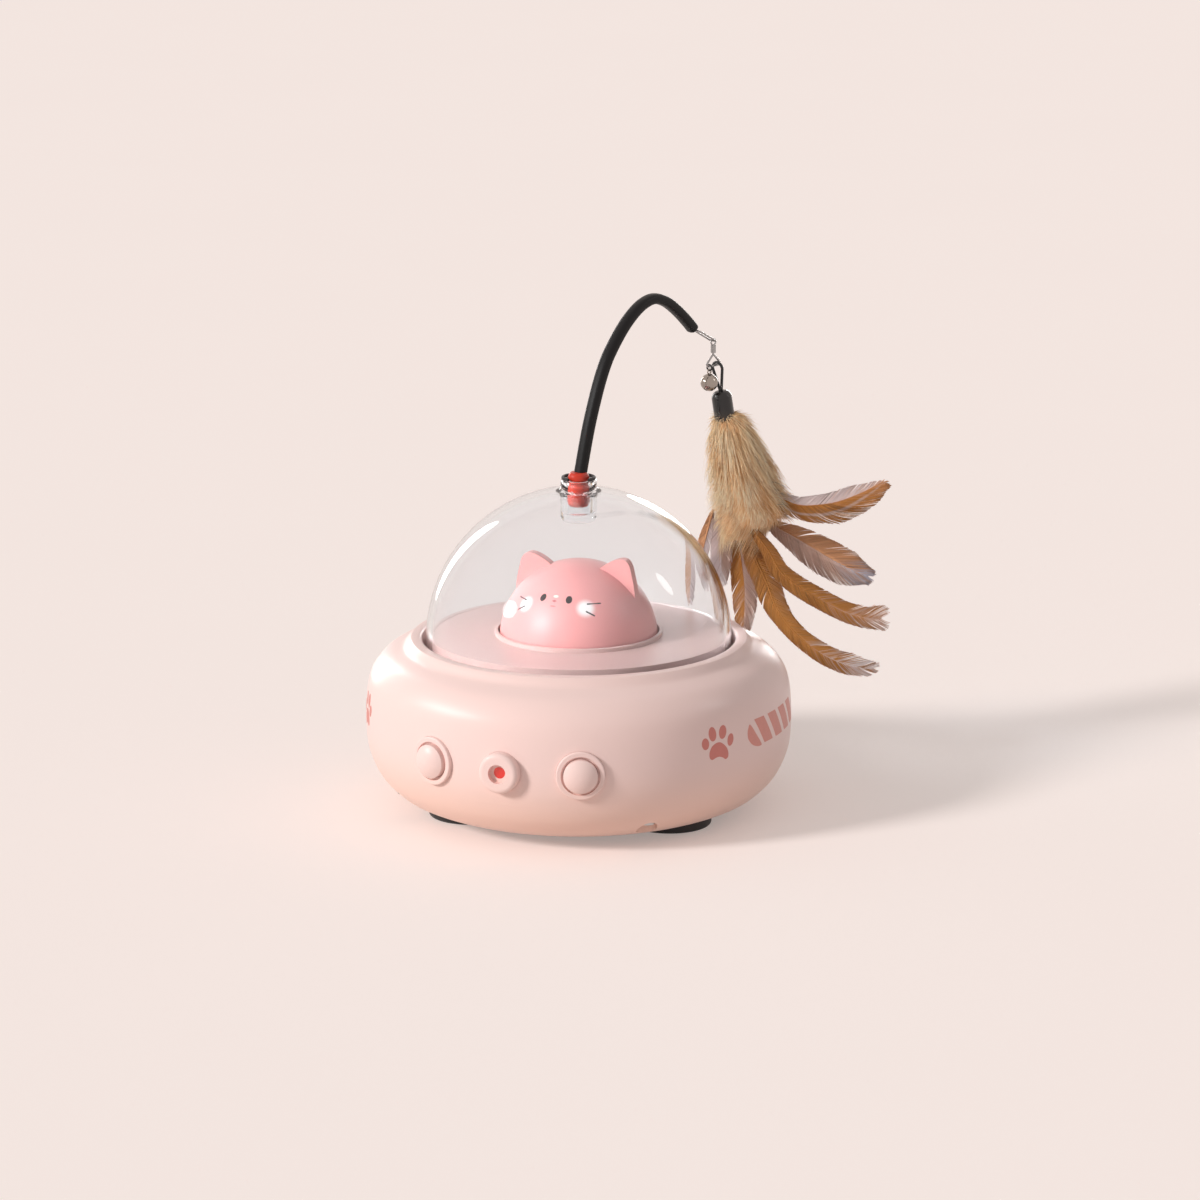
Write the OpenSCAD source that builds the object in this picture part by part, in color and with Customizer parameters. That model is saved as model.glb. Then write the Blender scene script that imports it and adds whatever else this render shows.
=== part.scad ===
// Automatic cat toy: a round housing on three rubber feet, a plate that turns round a fixed
// cat's head under a clear dome, and a bent wand on the dome that carries a bell and a
// feather lure. Lengths are millimetres. The front, with the laser, faces -Y.

/* [Body] */
// Widest diameter of the housing
body_d = 142.4; // [136:0.2:150]
// Height of the lip round the turntable above the floor
rim_z = 58; // [56:0.2:61]
// Height of the underside above the floor
underside_z = 4; // [3:0.1:5]
// Height of the joint between the two housings
seam_z = 18; // [16.5:0.1:19]
// Wall thickness of the two housings
wall = 2.2; // [1.8:0.1:2.4]

/* [Feet and housing screws] */
// Diameter of a rubber foot
foot_d = 28; // [22:0.2:28.4]
// Distance of a foot's middle from the housing's widest edge
foot_inset = 32.6; // [32.4:0.1:35]
// How deep a foot sits in the underside
foot_recess = 1; // [0.6:0.1:1.2]
// Turn of the first foot from the front
foot_turn = -48.5; // [-52:0.5:-44]
// Distance of the four screw wells from the housing's widest edge
well_inset = 9.8; // [9.6:0.1:10.4]
// Diameter of a screw well
well_d = 7; // [6.4:0.1:7.4]
// Turn of the first screw well from the front
well_turn = 41.5; // [40:0.5:45]

/* [Dome] */
// Width of the housing's shoulder, from the lip's inner face to the widest edge
shoulder_w = 18.8; // [18.4:0.1:21]
// Wall thickness of the dome
dome_wall = 2; // [1.5:0.1:2.4]
// Gap between the dome and the lip
dome_gap = 1.4; // [0.8:0.1:1.8]
// How far the middle of the dome's curve lies below the turntable's upper face
dome_sink = 1.5; // [0:0.1:2]
// Outer diameter of the wand's socket
socket_d = 12; // [11:0.1:13]
// Height of the socket's mouth above the dome's top
socket_rise = 2.9; // [2.4:0.1:3.4]
// Outer length of the socket
socket_l = 14.5; // [13.6:0.1:16]

/* [Turntable] */
// Height of the turntable's upper face above the floor
plate_z = 58.8; // [58:0.1:60]
// Thickness of the turntable's plate
plate_t = 2; // [1.6:0.1:2.4]
// Depth of the well that the head stands in
head_well = 8.8; // [8.4:0.1:9.4]
// Height of the collar round the head above the plate
collar_rise = 1.4; // [0.6:0.1:1.8]

/* [Cat head] */
// Diameter of the cat's head
head_d = 52.8; // [50:0.2:56]
// How far the middle of the head's curve lies below the turntable's upper face
head_sink = 1.4; // [0:0.1:2]
// Wall thickness of the head
head_wall = 2; // [1.6:0.1:2.4]
// Gap between the head and the well's wall
head_gap = 0.6; // [0.4:0.1:1]
// Thickness of an ear
ear_t = 3.5; // [2.8:0.1:4.2]
// How far the ears' middle lies in front of the head's axis
ear_forward = 1.6; // [0.6:0.1:2.6]

/* [Laser and buttons] */
// Height of the laser and the buttons above the floor
control_z = 29.6; // [29:0.1:30.4]
// Turn of each button from the front
button_turn = 21; // [20.5:0.5:24]
// Outer diameter of the collar round a button
button_collar_d = 16; // [15:0.1:16.4]
// Diameter of a button's cap
button_d = 11.1; // [10:0.1:11.4]
// How far a button stands out from the housing
button_rise = 4; // [3:0.1:4.6]
// How far a button can be pressed
button_travel = 0.8; // [0.5:0.1:1]
// Outer diameter of the laser's bezel
bezel_d = 13.4; // [12:0.1:14]
// How far the bezel stands out from the housing
bezel_rise = 3.5; // [2.6:0.1:4.2]
// Diameter of the laser module
laser_d = 6; // [5.4:0.1:6.4]
// Length of the laser module
laser_l = 12.5; // [10:0.1:14]

/* [Drive] */
// Tooth size of the gears, as the pitch diameter over the teeth
gear_module = 1; // [0.96:0.01:1.02]
// Teeth of the gear under the turntable
gear_teeth = 40; // [38:2:40]
// Teeth of the motor's pinion
pinion_teeth = 14; // [13:1:15]
// Width of both gears
gear_w = 4; // [3.2:0.1:4.2]
// Radius of the post that the turntable runs on
post_r = 12; // [11:0.1:12.4]
// Height of the deck's upper face above the floor
deck_z = 42; // [41:0.1:42.4]
// Thickness of the deck
deck_t = 2; // [1.6:0.1:2.4]
// Length of the motor with its gearbox
motor_l = 24; // [20:0.2:26]
// Diameter of the motor's shaft
shaft_d = 3; // [2.6:0.1:3.2]

/* [Power] */
// Diameter of the battery
battery_d = 18; // [16:0.1:18.4]
// Length of the battery
battery_l = 65; // [60:0.2:65.4]
// Distance of the battery's axis from the housing's widest edge, at the front
battery_inset = 41.2; // [40.8:0.1:42]
// Width of the control board
board_w = 26; // [24:0.2:27]
// Length of the control board
board_l = 33; // [30:0.2:34]
// Thickness of the circuit boards
board_t = 1.6; // [1.2:0.1:1.8]

/* [Wand] */
// Diameter of the plug's barrel
plug_d = 7.4; // [6.6:0.1:8]
// Length of the plug
plug_l = 11.7; // [10.8:0.1:12.4]
// Width of the wand, across its bend
wand_w = 4.4; // [4:0.1:5]
// Thickness of the wand, in its bend
wand_t = 3.6; // [3.2:0.1:4.2]
// How far the wand's end stays inside the housing's widest edge
wand_inset = 17; // [13:0.1:19]
// Height of the wand's end above the housing's lip
wand_end_h = 97; // [95:0.1:100]
// Turn of the wand's bend from the right-hand side
wand_turn = 65.5; // [60:0.5:78]

/* [Bell and lure] */
// Diameter of the bell
bell_d = 6; // [5.4:0.1:6.4]
// Height of the bar that the bell and the lure hang on, below the swivel's pivot
hook_drop = 8.6; // [8:0.1:9.4]
// Distance between the bell and the lure along the bar
hang_gap = 3.8; // [3.6:0.1:4.2]
// Diameter of the lure's cap
cap_d = 7; // [6:0.1:7.4]
// Length of the lure's cap
cap_l = 10.2; // [9.6:0.1:11.4]
// Length that the fur and the feathers are drawn to, about the whole lure's drop
lure_drop = 100; // [94:0.5:102]
// Thickness of a feather's plain solid
feather_t = 0.8; // [0.6:0.1:1]

/* [Hidden] */

// Smoothness of round pieces
$fn = 96;
fine = 180;

// Colours
body_pink = [0.97, 0.87, 0.85];
plate_pink = [0.93, 0.83, 0.81];
head_pink = [0.95, 0.78, 0.76];
rubber_black = [0.10, 0.10, 0.11];
steel = [0.72, 0.72, 0.74];
white_plastic = [0.92, 0.91, 0.89];
clear_blue = [0.78, 0.90, 0.96, 0.35];
board_green = [0.10, 0.38, 0.22];
plug_orange = [0.86, 0.36, 0.26];
fur_tan = [0.80, 0.65, 0.50];
feather_gold = [0.72, 0.50, 0.28];
feather_grey = [0.58, 0.50, 0.47];

// Clearances
slip = 0.05; // radial gap of a pin, screw or shaft in its hole
slide_gap = 0.1; // radial gap of a piece that slides in its guide
loose_gap = 0.3; // gap between neighbours that move past each other
cut = 1; // how far a cut runs past the face it opens

// Radii and levels that several pieces share
body_r = body_d / 2;
lip_in = body_r - shoulder_w;
dome_r = lip_in - dome_gap;
lip_w = 3.6;
lip_out = lip_in + lip_w;
lip_round = 0.8;
floor_top = underside_z + wall;
seam_steps = 3;

// Outline of the housing below the joint, as shares of the body's radius and of the height
// from the underside to the joint
lower_shares = [
    [0.758, 0], [0.816, 0.114], [0.864, 0.25], [0.919, 0.514], [0.949, 0.736], [0.973, 1]
];
// Outline above the joint, as shares of the width from the lip to the widest radius and of
// the height from the joint to the lip
upper_shares = [
    [0.968, 0.125], [1, 0.3125], [0.984, 0.5], [0.917, 0.6625], [0.769, 0.77], [0.558, 0.8525],
    [0.321, 0.9], [0.154, 0.93], [0.051, 0.975], [0, 0.995]
];
// The place in upper_shares where the inner wall meets the lip's skirt
roof_index = 6;

function unit(v) = v / norm(v);
function pick(line, a, b) = [for (i = [a:b]) line[i]];
function reversed(line) = [for (i = [len(line) - 1:-1:0]) line[i]];
// A smooth curve through the points, with n steps from each point to the next
function between(a, b, c, d, t) =
    0.5 * (2 * b + (c - a) * t + (2 * a - 5 * b + 4 * c - d) * t * t
        + (3 * b - a - 3 * c + d) * t * t * t);
function smooth(p, n) = concat(
    [for (i = [0:len(p) - 2], k = [0:n - 1])
        between(i > 0 ? p[i - 1] : 2 * p[0] - p[1], p[i], p[i + 1],
            i + 2 < len(p) ? p[i + 2] : 2 * p[i + 1] - p[i], k / n)],
    [p[len(p) - 1]]);
// A point of an outline moved inwards, square to the outline
function inward(line, i, d) =
    let (t = unit(line[min(i + 1, len(line) - 1)] - line[max(i - 1, 0)]))
    line[i] + d * [-t[1], t[0]];
// Points along an arc in the plane, from angle a to angle b
function arc(centre, r, a, b, n) =
    [for (k = [0:n]) centre + r * [cos(a + (b - a) * k / n), sin(a + (b - a) * k / n)]];

lower_points = [for (s = lower_shares)
    [s[0] * body_r, underside_z + s[1] * (seam_z - underside_z)]];
upper_points = [for (s = upper_shares)
    [lip_out + s[0] * (body_r - lip_out), seam_z + s[1] * (rim_z - seam_z)]];
outline = smooth(concat(lower_points, upper_points), seam_steps);
seam_i = (len(lower_shares) - 1) * seam_steps;
roof_i = (len(lower_shares) + roof_index) * seam_steps;
last_i = len(outline) - 1;
seam_r = outline[seam_i][0];
inner_line = [for (i = [0:last_i]) inward(outline, i, wall)];
core_line = [for (i = [0:last_i]) inward(outline, i, wall / 2)];

// Tongue of the lower housing inside the upper one
tongue_t = 1.1;
tongue_rise = 2.4;
tongue_depth = 3;
tongue_r = seam_r - wall - slip;
// Skirt of the lip, and the columns and bosses
skirt_l = 12;
skirt_z = rim_z - skirt_l;
column_r = 3.2;
well_depth = 7.5;
well_top = underside_z + well_depth;
well_wall = 1.5;
boss_offset = 5.9; // from the lip's outer edge
boss_ring_r = lip_out + boss_offset;
boss_r = 3.4;
// Screws: radius of the shank, radius and height of the head
m3_r = 1.5;
m3_head_r = 2.8;
m3_head_h = 1.9;
m2_r = 1;
m2_head_r = 1.8;
m2_head_h = 1.2;
slot_w = 0.6;
slot_depth = 0.7;
housing_screw_l = 14;
deck_screw_l = 9;

// Levels of the deck, the gears and the turntable
deck_margin = 2.6;
deck_r = body_r - wall - deck_margin;
post_in = 8;
washer_t = 0.6;
washer_w = 4;
hub_z = deck_z + washer_t + slide_gap;
hub_wall = 2.45;
hub_r = post_r + slip + hub_wall;
well_floor = plate_z - head_well;
web_t = 2;
gear_room = 0.8;
gear_top = well_floor - web_t - gear_room;
gear_seat_w = 2.5;
post_rise = 3;
post_top = well_floor + post_rise;
clip_t = 1;
clip_w = 3;
groove_depth = 0.5;
head_r = head_d / 2;
well_r = head_r + head_gap;
well_wall_t = 2;
collar_w = 1;
rim_wall = 2;
rim_drop = 5.8;
rim_flange_t = 1.8;
plate_fit = 0.15;
plate_r = dome_r - dome_wall - plate_fit;
dome_z = plate_z - dome_sink;
dome_skirt = rim_drop - rim_flange_t - slide_gap - dome_sink;
pitch_r = gear_module * gear_teeth / 2;
pinion_pitch_r = gear_module * pinion_teeth / 2;
spread_share = 0.05; // how far the gears stand apart beyond their pitch circles, in modules
centre_distance = pitch_r + pinion_pitch_r + spread_share * gear_module;
motor_turn = 180;

// Feet, wells and columns
foot_round = 1;
well_roof = 1.9;
column_z = well_top + well_roof + slide_gap;

// Laser, buttons and their switches, measured outwards from the housing's widest radius
seat = 1;
bezel_tail = 9;
bezel_neck_t = 2;
bezel_neck_r = laser_d / 2 + bezel_neck_t;
bezel_round = 1.6;
bezel_recess = 2.2;
recess_r = 3.15;
lens_r = 1.9;
lens_t = 1;
beam_r = 1.2;
ring_rise = 1;
collar_round = 0.5;
collar_tail = 7;
groove_w = 0.85; // of the groove round a button
mouth_r = button_d / 2 + groove_w;
guide_l = 1.6;
flange_w = 0.95;
flange_r = button_d / 2 + flange_w;
flange_t = 1.6;
collar_neck_t = 0.8;
collar_neck_r = flange_r + slide_gap + collar_neck_t;
button_dome = 2; // height of the cap's curve
button_curve = (pow(button_d / 2, 2) + pow(button_dome, 2)) / (2 * button_dome);
stem_r = 2;
stem_l = 9;
plunger_r = 1.7;
plunger_l = 2.9;
switch_w = 6;
switch_t = 3.8;
switch_gap = 1.4; // how far the plunger stands out of the switch
switch_base = -stem_l - switch_gap - switch_t;
switch_board_w = 24;
switch_board_h = 11;
switch_board_t = 1.2;
pillar_x = 9.8;
pillar_r = 1.8;
board_screw_l = 4.8;

// Control board, charge port, battery and motor
board_margin = 4.3;
board_end = body_r - board_margin;
board_y = board_end - board_l;
board_inset = 2.6;
board_lift = 4;
board_z = seam_z + board_lift;
board_post_r = 2.2;
port_w = 9;
port_h = 3.2;
port_l = 7.3;
port_fit = 0.2;
port_skin = 0.3;
port_back = 0.8;
port_tongue_w = 6.7;
port_tongue_t = 0.7;
port_depth = 1.6;
port_y = body_r - port_depth - port_l;
port_z = board_z + board_t + port_h / 2;
chip_w = 8;
chip_t = 1.2;
cap_can_r = 2.5;
cap_can_h = 6;
coil_w = 4.5;
coil_h = 3;
connector_w = 7;
connector_d = 4;
connector_h = 5;
connector_x = 5;
nub_l = 1;
nub_r = 2.7;
cradle_floor = 1;
battery_y = body_r - battery_inset; // from the body's axis towards the front
battery_z = floor_top + cradle_floor + battery_d / 2 + slide_gap;
cradle_wall = 1.1;
cradle_l = 60;
cradle_drop = 1.8; // from the battery's middle to the cradle's edge
cradle_h = battery_z - floor_top - cradle_drop;
cell_spare = 2;
cell_room = battery_l + cell_spare;
cradle_end_t = 1.5;
cradle_end_w = 14;
cradle_end_rise = 5;
cradle_end_h = battery_z - floor_top + cradle_end_rise;
contact_w = 8;
contact_t = 0.5;
motor_w = 12;
motor_d = 10;
gearbox_l = 9;
motor_nose_r = 2;
motor_nose_l = 0.8;
tab_x = 3;
tab_w = 1.6;
tab_t = 0.4;
tab_l = 1.5;
shaft_seat = 4;
bracket_h = 6;
bracket_t = 1.2;
bracket_l = 24;
ear_hole_y = 8.4;

// Post and head
clip_z = well_floor + loose_gap;
carrier_t = 2;
spigot_l = 3.6;
spigot_floor = 1.4;
head_screw_l = 12;
head_lift = 2.5; // from the well's floor to the head's lower edge
head_z = plate_z - head_sink;
head_drop = head_z - well_floor - head_lift;
head_boss_r = 4;

// Socket, plug and wand
socket_top = dome_r + socket_rise; // above the dome's middle
socket_round = 2;
socket_floor = 2.8;
plug_fit = 0.08;
ring_wire = 0.55;
ring_inset = 0.8;
ring_turn = 20;
ring_opening = 80;
plug_stand = 2.4; // how far the plug stands out of the socket
plug_z = dome_z + socket_top + plug_stand - plug_l;
wand_reach = body_r - wand_inset; // from the dome's axis to the wand's end
wand_seat = 4.7;
wand_foot_z = plug_z + plug_l - wand_seat;
wand_end_round = 0.5;
eye_wire = 0.3;
eye_root = 3;
eye_stub = 2.4;
eye_l = 9.5; // from the stub to the middle of the far bar
eye_r = 1.4;
eye_corner = 0.6;
eye_slope = 29;

// Swivel, hook and bell, measured from the pivot where the swivel hangs in the eye
swivel_r = 1.05;
swivel_hang = swivel_r - 2 * eye_wire - slip;
barrel_r = 0.9;
barrel_l = 2.6;
barrel_low = swivel_hang + swivel_r + barrel_l;
hook_wire = 0.35;
joint_share = 1.04; // a bend's ball, as a share of the wire
shank_l = 1.8;
shank_show = 0.5;
hook_top = barrel_low + shank_show;
bell_x = -hang_gap / 2;
lure_x = hang_gap / 2;
hook_side = 1.25;
hook_corner = 1;
jump_r = 1.05;
jump_wire = 0.25;
jump_hang = jump_r - jump_wire - hook_wire - slip;
bell_shank_r = 0.8;
shank_drop = jump_hang + jump_r + bell_shank_r - 2 * jump_wire - slip;
bell_drop = shank_drop + bell_shank_r + bell_d / 2;
bell_wall = 0.35;
bell_slot_l = 4;
bell_slot_w = 0.5;
bell_slot_rise = 1.2; // how far below the bell's middle the slots end
pellet_r = 1;

// Lure, measured along its lean from the bar it hangs on
fan_turn = 20.5; // turn of the plane in which the feathers spread
lure_lean = 8.5;
loop_r = 2.2;
loop_wire = 0.5;
loop_hang = loop_r - loop_wire - hook_wire - slide_gap;
cap_drop = 8.8;
cap_hole_r = 0.9;
cap_wall = 0.6;
cap_roof = 2.6;
knot_l = 1.4;
fur_overlap = 1.6;

// Turn children to a place round the body, measured from the front towards +X
module around(a) rotate([0, 0, a]) children();
// Place children on the body's side with their z axis pointing outwards
module on_side(a) rotate([0, 0, a]) translate([0, -body_r, control_z]) rotate([90, 0, 0]) children();
module tube(r_out, r_in, h) difference() {
    cylinder(r = r_out, h = h);
    translate([0, 0, -cut]) cylinder(r = r_in, h = h + 2 * cut);
}
// A straight round bar between two points
module rod(a, b, r) {
    d = b - a;
    translate(a) rotate([0, acos(d[2] / norm(d)), atan2(d[1], d[0])]) cylinder(r = r, h = norm(d), $fn = 24);
}
// A bent wire through the points, with a ball a little wider than the wire at each of them
module wire(points, r) {
    for (i = [0:len(points) - 2]) rod(points[i], points[i + 1], r);
    for (p = points) translate(p) sphere(r = r * joint_share, $fn = 24);
}
// A round ring of wire that lies in the xy plane
module ring(r, wire_r) rotate_extrude($fn = 48) translate([r, 0]) circle(r = wire_r, $fn = 24);
// A slotted screw that points up, with its head below z = 0
module screw(shank_r, length, head_r, head_h) difference() {
    union() {
        translate([0, 0, -head_h]) cylinder(r = head_r, h = head_h, $fn = 48);
        cylinder(r = shank_r, h = length, $fn = 32);
    }
    translate([-head_r, -slot_w / 2, -head_h - cut]) cube([2 * head_r, slot_w, slot_depth + cut]);
}
// A closed skin over a list of rings, each a list of points
module skin(rings) {
    n = len(rings[0]);
    m = len(rings);
    sides = [for (i = [0:m - 2], j = [0:n - 1])
        each [[i * n + j, (i + 1) * n + j, i * n + (j + 1) % n],
            [(i + 1) * n + j, (i + 1) * n + (j + 1) % n, i * n + (j + 1) % n]]];
    ends = [[for (j = [0:n - 1]) j], [for (j = [n - 1:-1:0]) (m - 1) * n + j]];
    polyhedron(points = [for (r = rings) each r], faces = concat(sides, ends));
}

// Housings and feet

// The space inside half the wall, which clips posts and bosses to the housings
module housing_core() rotate_extrude($fn = fine)
    polygon(concat([[0, underside_z + wall / 2]], pick(core_line, 1, last_i),
        [[0, core_line[last_i][1]]]));
module clipped() intersection() {
    housing_core();
    union() children();
}
module at_wells() for (i = [0:3]) around(well_turn + 90 * i) translate([0, well_inset - body_r, 0]) children();
module at_bosses() for (a = [0:90:270]) around(a) translate([0, -boss_ring_r, 0]) children();
module at_board_posts() for (x = [-1, 1], y = [board_y + board_inset, board_end - board_inset])
    translate([x * (board_w / 2 - board_inset), y, 0]) children();
module at_pillars(a) for (x = [-1, 1]) on_side(a) translate([x * pillar_x, 0, 0]) children();

module lower_housing() color(body_pink) difference() {
    union() {
        rotate_extrude($fn = fine) polygon(concat([[0, underside_z]], pick(outline, 0, seam_i),
            [[seam_r - wall, seam_z]], reversed(pick(inner_line, 1, seam_i - 1)),
            [[inner_line[0][0], floor_top], [0, floor_top]]));
        rotate_extrude($fn = fine) polygon([
            [tongue_r - tongue_t, seam_z - tongue_depth], [seam_r - wall, seam_z - tongue_depth],
            [seam_r - wall, seam_z], [tongue_r, seam_z],
            [tongue_r, seam_z + tongue_rise], [tongue_r - tongue_t, seam_z + tongue_rise]]);
        clipped() {
            at_wells() cylinder(r = well_d / 2 + well_wall, h = column_z - slide_gap);
            at_board_posts() cylinder(r = board_post_r, h = board_z);
        }
    }
    for (i = [0:2]) at_foot(i) translate([0, 0, underside_z - cut])
        cylinder(r = foot_d / 2 + slide_gap, h = foot_recess + cut);
    at_wells() cylinder(r = well_d / 2, h = well_top);
    at_wells() cylinder(r = m3_r + slip, h = column_z);
    at_board_posts() translate([0, 0, board_z - board_screw_l])
        cylinder(r = m2_r + slip, h = board_screw_l + cut, $fn = 32);
}

module upper_housing() color(body_pink) difference() {
    union() {
        rotate_extrude($fn = fine) polygon(concat(pick(outline, seam_i, last_i),
            [[lip_out - lip_round, rim_z]],
            arc([lip_in + lip_round, rim_z - lip_round], lip_round, 90, 180, 4),
            [[lip_in, skirt_z], [lip_in + wall, skirt_z], [lip_in + wall, inner_line[roof_i][1]]],
            reversed(pick(inner_line, seam_i + 1, roof_i)), [[seam_r - wall, seam_z]]));
        clipped() {
            at_wells() translate([0, 0, column_z]) cylinder(r = column_r, h = rim_z);
            at_bosses() translate([0, 0, deck_z]) cylinder(r = boss_r, h = rim_z);
            for (a = [-button_turn, button_turn]) at_pillars(a) translate([0, 0, switch_base])
                cylinder(r = pillar_r, h = -switch_base);
        }
    }
    for (a = [-button_turn, button_turn]) on_side(a) {
        translate([0, 0, -seat]) cylinder(r = button_collar_d / 2 + slip, h = 2 * seat);
        translate([0, 0, -collar_tail]) cylinder(r = collar_neck_r + slip, h = collar_tail);
    }
    on_side(0) {
        translate([0, 0, -seat]) cylinder(r = bezel_d / 2 + slip, h = 2 * seat);
        translate([0, 0, -bezel_tail]) cylinder(r = bezel_neck_r + slip, h = bezel_tail);
    }
    translate([0, port_y, port_z]) rotate([-90, 0, 0]) linear_extrude(body_r)
        slot_shape(port_w + 2 * port_fit, port_h + 2 * port_fit);
    at_wells() translate([0, 0, column_z - cut])
        cylinder(r = m3_r + slip, h = well_top + housing_screw_l + slide_gap - column_z + cut, $fn = 32);
    at_bosses() translate([0, 0, deck_z - cut])
        cylinder(r = m3_r + slip, h = deck_screw_l - deck_t + slide_gap + cut, $fn = 32);
    for (a = [-button_turn, button_turn]) at_pillars(a) translate([0, 0, switch_base - cut])
        cylinder(r = m2_r + slip, h = board_screw_l + cut, $fn = 32);
}

module at_foot(i) around(foot_turn + 120 * i) translate([0, foot_inset - body_r, 0]) children();
module foot(i) color(rubber_black) at_foot(i) rotate_extrude() polygon(concat([[0, 0]],
    arc([foot_d / 2 - foot_round, foot_round], foot_round, -90, 0, 5),
    [[foot_d / 2, underside_z + foot_recess], [0, underside_z + foot_recess]]));
module foot_1() foot(0);
module foot_2() foot(1);
module foot_3() foot(2);
module housing_screws() color(steel) at_wells() translate([0, 0, well_top])
    screw(m3_r, housing_screw_l, m3_head_r, m3_head_h);

// Deck, post and what runs on the post

module deck() color(white_plastic) difference() {
    union() {
        translate([0, 0, deck_z - deck_t]) cylinder(r = deck_r, h = deck_t, $fn = fine);
        translate([0, 0, deck_z - deck_t]) cylinder(r = post_r, h = post_top - deck_z + deck_t);
    }
    translate([0, 0, deck_z - deck_t - cut]) cylinder(r = post_in, h = post_top);
    translate([0, 0, clip_z - slip]) difference() {
        cylinder(r = post_r + cut, h = clip_t + 2 * slip);
        translate([0, 0, -cut]) cylinder(r = post_r - groove_depth, h = clip_t + 3 * cut);
    }
    at_wells() cylinder(r = column_r + loose_gap, h = rim_z);
    at_bosses() cylinder(r = m3_r + slip, h = rim_z, $fn = 32);
    at_motor() translate([0, 0, deck_z - deck_t - cut])
        cylinder(r = motor_nose_r + slide_gap, h = deck_t + 2 * cut, $fn = 48);
    at_motor() at_ears() translate([0, 0, deck_z - deck_t - cut])
        cylinder(r = m2_r + slip, h = deck_t + 2 * cut, $fn = 32);
}
module deck_screws() color(steel) at_bosses() translate([0, 0, deck_z - deck_t])
    screw(m3_r, deck_screw_l, m3_head_r, m3_head_h);
module thrust_washer() color(white_plastic) translate([0, 0, deck_z])
    tube(post_r + slip + washer_w, post_r + slip, washer_t);
module post_clip() color(steel) translate([0, 0, clip_z]) difference() {
    tube(post_r - groove_depth + slip + clip_w, post_r - groove_depth + slip, clip_t);
    translate([0, -clip_w / 2, -cut]) cube([post_r + clip_w, clip_w, clip_t + 2 * cut]);
}
module head_carrier() color(white_plastic) difference() {
    union() {
        translate([0, 0, post_top]) cylinder(r = head_r - head_wall - slide_gap, h = carrier_t);
        translate([0, 0, post_top - spigot_l]) cylinder(r = post_in - slip, h = spigot_l + carrier_t);
    }
    translate([0, 0, post_top - spigot_l - cut])
        cylinder(r = m3_r + slip, h = spigot_l + carrier_t + 2 * cut, $fn = 32);
    translate([0, 0, post_top - spigot_l - cut])
        cylinder(r = m3_head_r + loose_gap, h = spigot_l - spigot_floor + cut);
}
module head_screw() color(steel) translate([0, 0, post_top - spigot_floor])
    screw(m3_r, head_screw_l, m3_head_r, m3_head_h);

// The upper half of a round shell, carried down as a straight skirt
module bowl(r, drop) {
    intersection() {
        circle(r = r);
        square([r, r]);
    }
    translate([0, -drop]) square([r, drop]);
}
// One ear seen from the front, as shares of the head's radius
ear_shares = [
    [0.24, 0.72], [0.28, 0.86], [0.34, 0.945], [0.44, 1.015], [0.54, 1.06], [0.62, 1.072],
    [0.68, 1.05], [0.725, 0.98], [0.755, 0.86], [0.785, 0.72], [0.795, 0.58], [0.78, 0.44]
];
module cat_head() color(head_pink) translate([0, 0, head_z]) difference() {
    union() {
        rotate_extrude($fn = fine) bowl(head_r, head_drop);
        for (s = [-1, 1]) translate([0, -ear_forward, 0]) rotate([90, 0, 0])
            linear_extrude(ear_t, center = true)
                polygon([for (p = smooth(ear_shares, 3)) [s * p[0] * head_r, p[1] * head_r]]);
    }
    difference() {
        rotate_extrude($fn = fine) bowl(head_r - head_wall, head_drop + cut);
        translate([0, 0, carrier_t + post_top - head_z]) cylinder(r = head_boss_r, h = head_d);
    }
    translate([0, 0, carrier_t + post_top - head_z - cut])
        cylinder(r = m3_r + slip, h = head_screw_l - spigot_floor - carrier_t + slide_gap + cut, $fn = 32);
}

// Laser and buttons

module laser_bezel() color(body_pink) on_side(0) difference() {
    union() {
        rotate_extrude() polygon(concat([[0, -seat], [bezel_d / 2, -seat]],
            arc([bezel_d / 2 - bezel_round, bezel_rise - bezel_round], bezel_round, 0, 90, 8),
            [[0, bezel_rise]]));
        translate([0, 0, -bezel_tail]) cylinder(r = bezel_neck_r, h = bezel_tail);
    }
    translate([0, 0, bezel_rise - bezel_recess]) cylinder(r = recess_r, h = bezel_recess + cut);
    translate([0, 0, -seat]) cylinder(r = lens_r + slip, h = bezel_rise + seat);
    translate([0, 0, -bezel_tail - cut]) cylinder(r = laser_d / 2 + slip, h = bezel_tail - seat + cut);
}
module laser_lens() color([0.85, 0.18, 0.14]) on_side(0)
    translate([0, 0, bezel_rise - bezel_recess - lens_t]) cylinder(r = lens_r, h = lens_t, $fn = 48);
module laser_module() color(steel) on_side(0) difference() {
    union() {
        translate([0, 0, -seat - laser_l]) cylinder(r = laser_d / 2, h = laser_l);
        translate([0, 0, -seat]) cylinder(r = lens_r, h = bezel_rise - bezel_recess - lens_t + seat);
    }
    translate([0, 0, -seat]) cylinder(r = beam_r, h = bezel_rise + seat, $fn = 32);
}
module button_collar(a) color(body_pink) on_side(a) rotate_extrude() polygon(concat(
    [[collar_neck_r, -collar_tail], [collar_neck_r, -seat], [button_collar_d / 2, -seat]],
    arc([button_collar_d / 2 - collar_round, ring_rise - collar_round], collar_round, 0, 90, 5),
    [[mouth_r, ring_rise], [mouth_r, 0], [button_d / 2 + slide_gap, 0],
        [button_d / 2 + slide_gap, -guide_l], [flange_r + slide_gap, -guide_l],
        [flange_r + slide_gap, -collar_tail]]));
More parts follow.
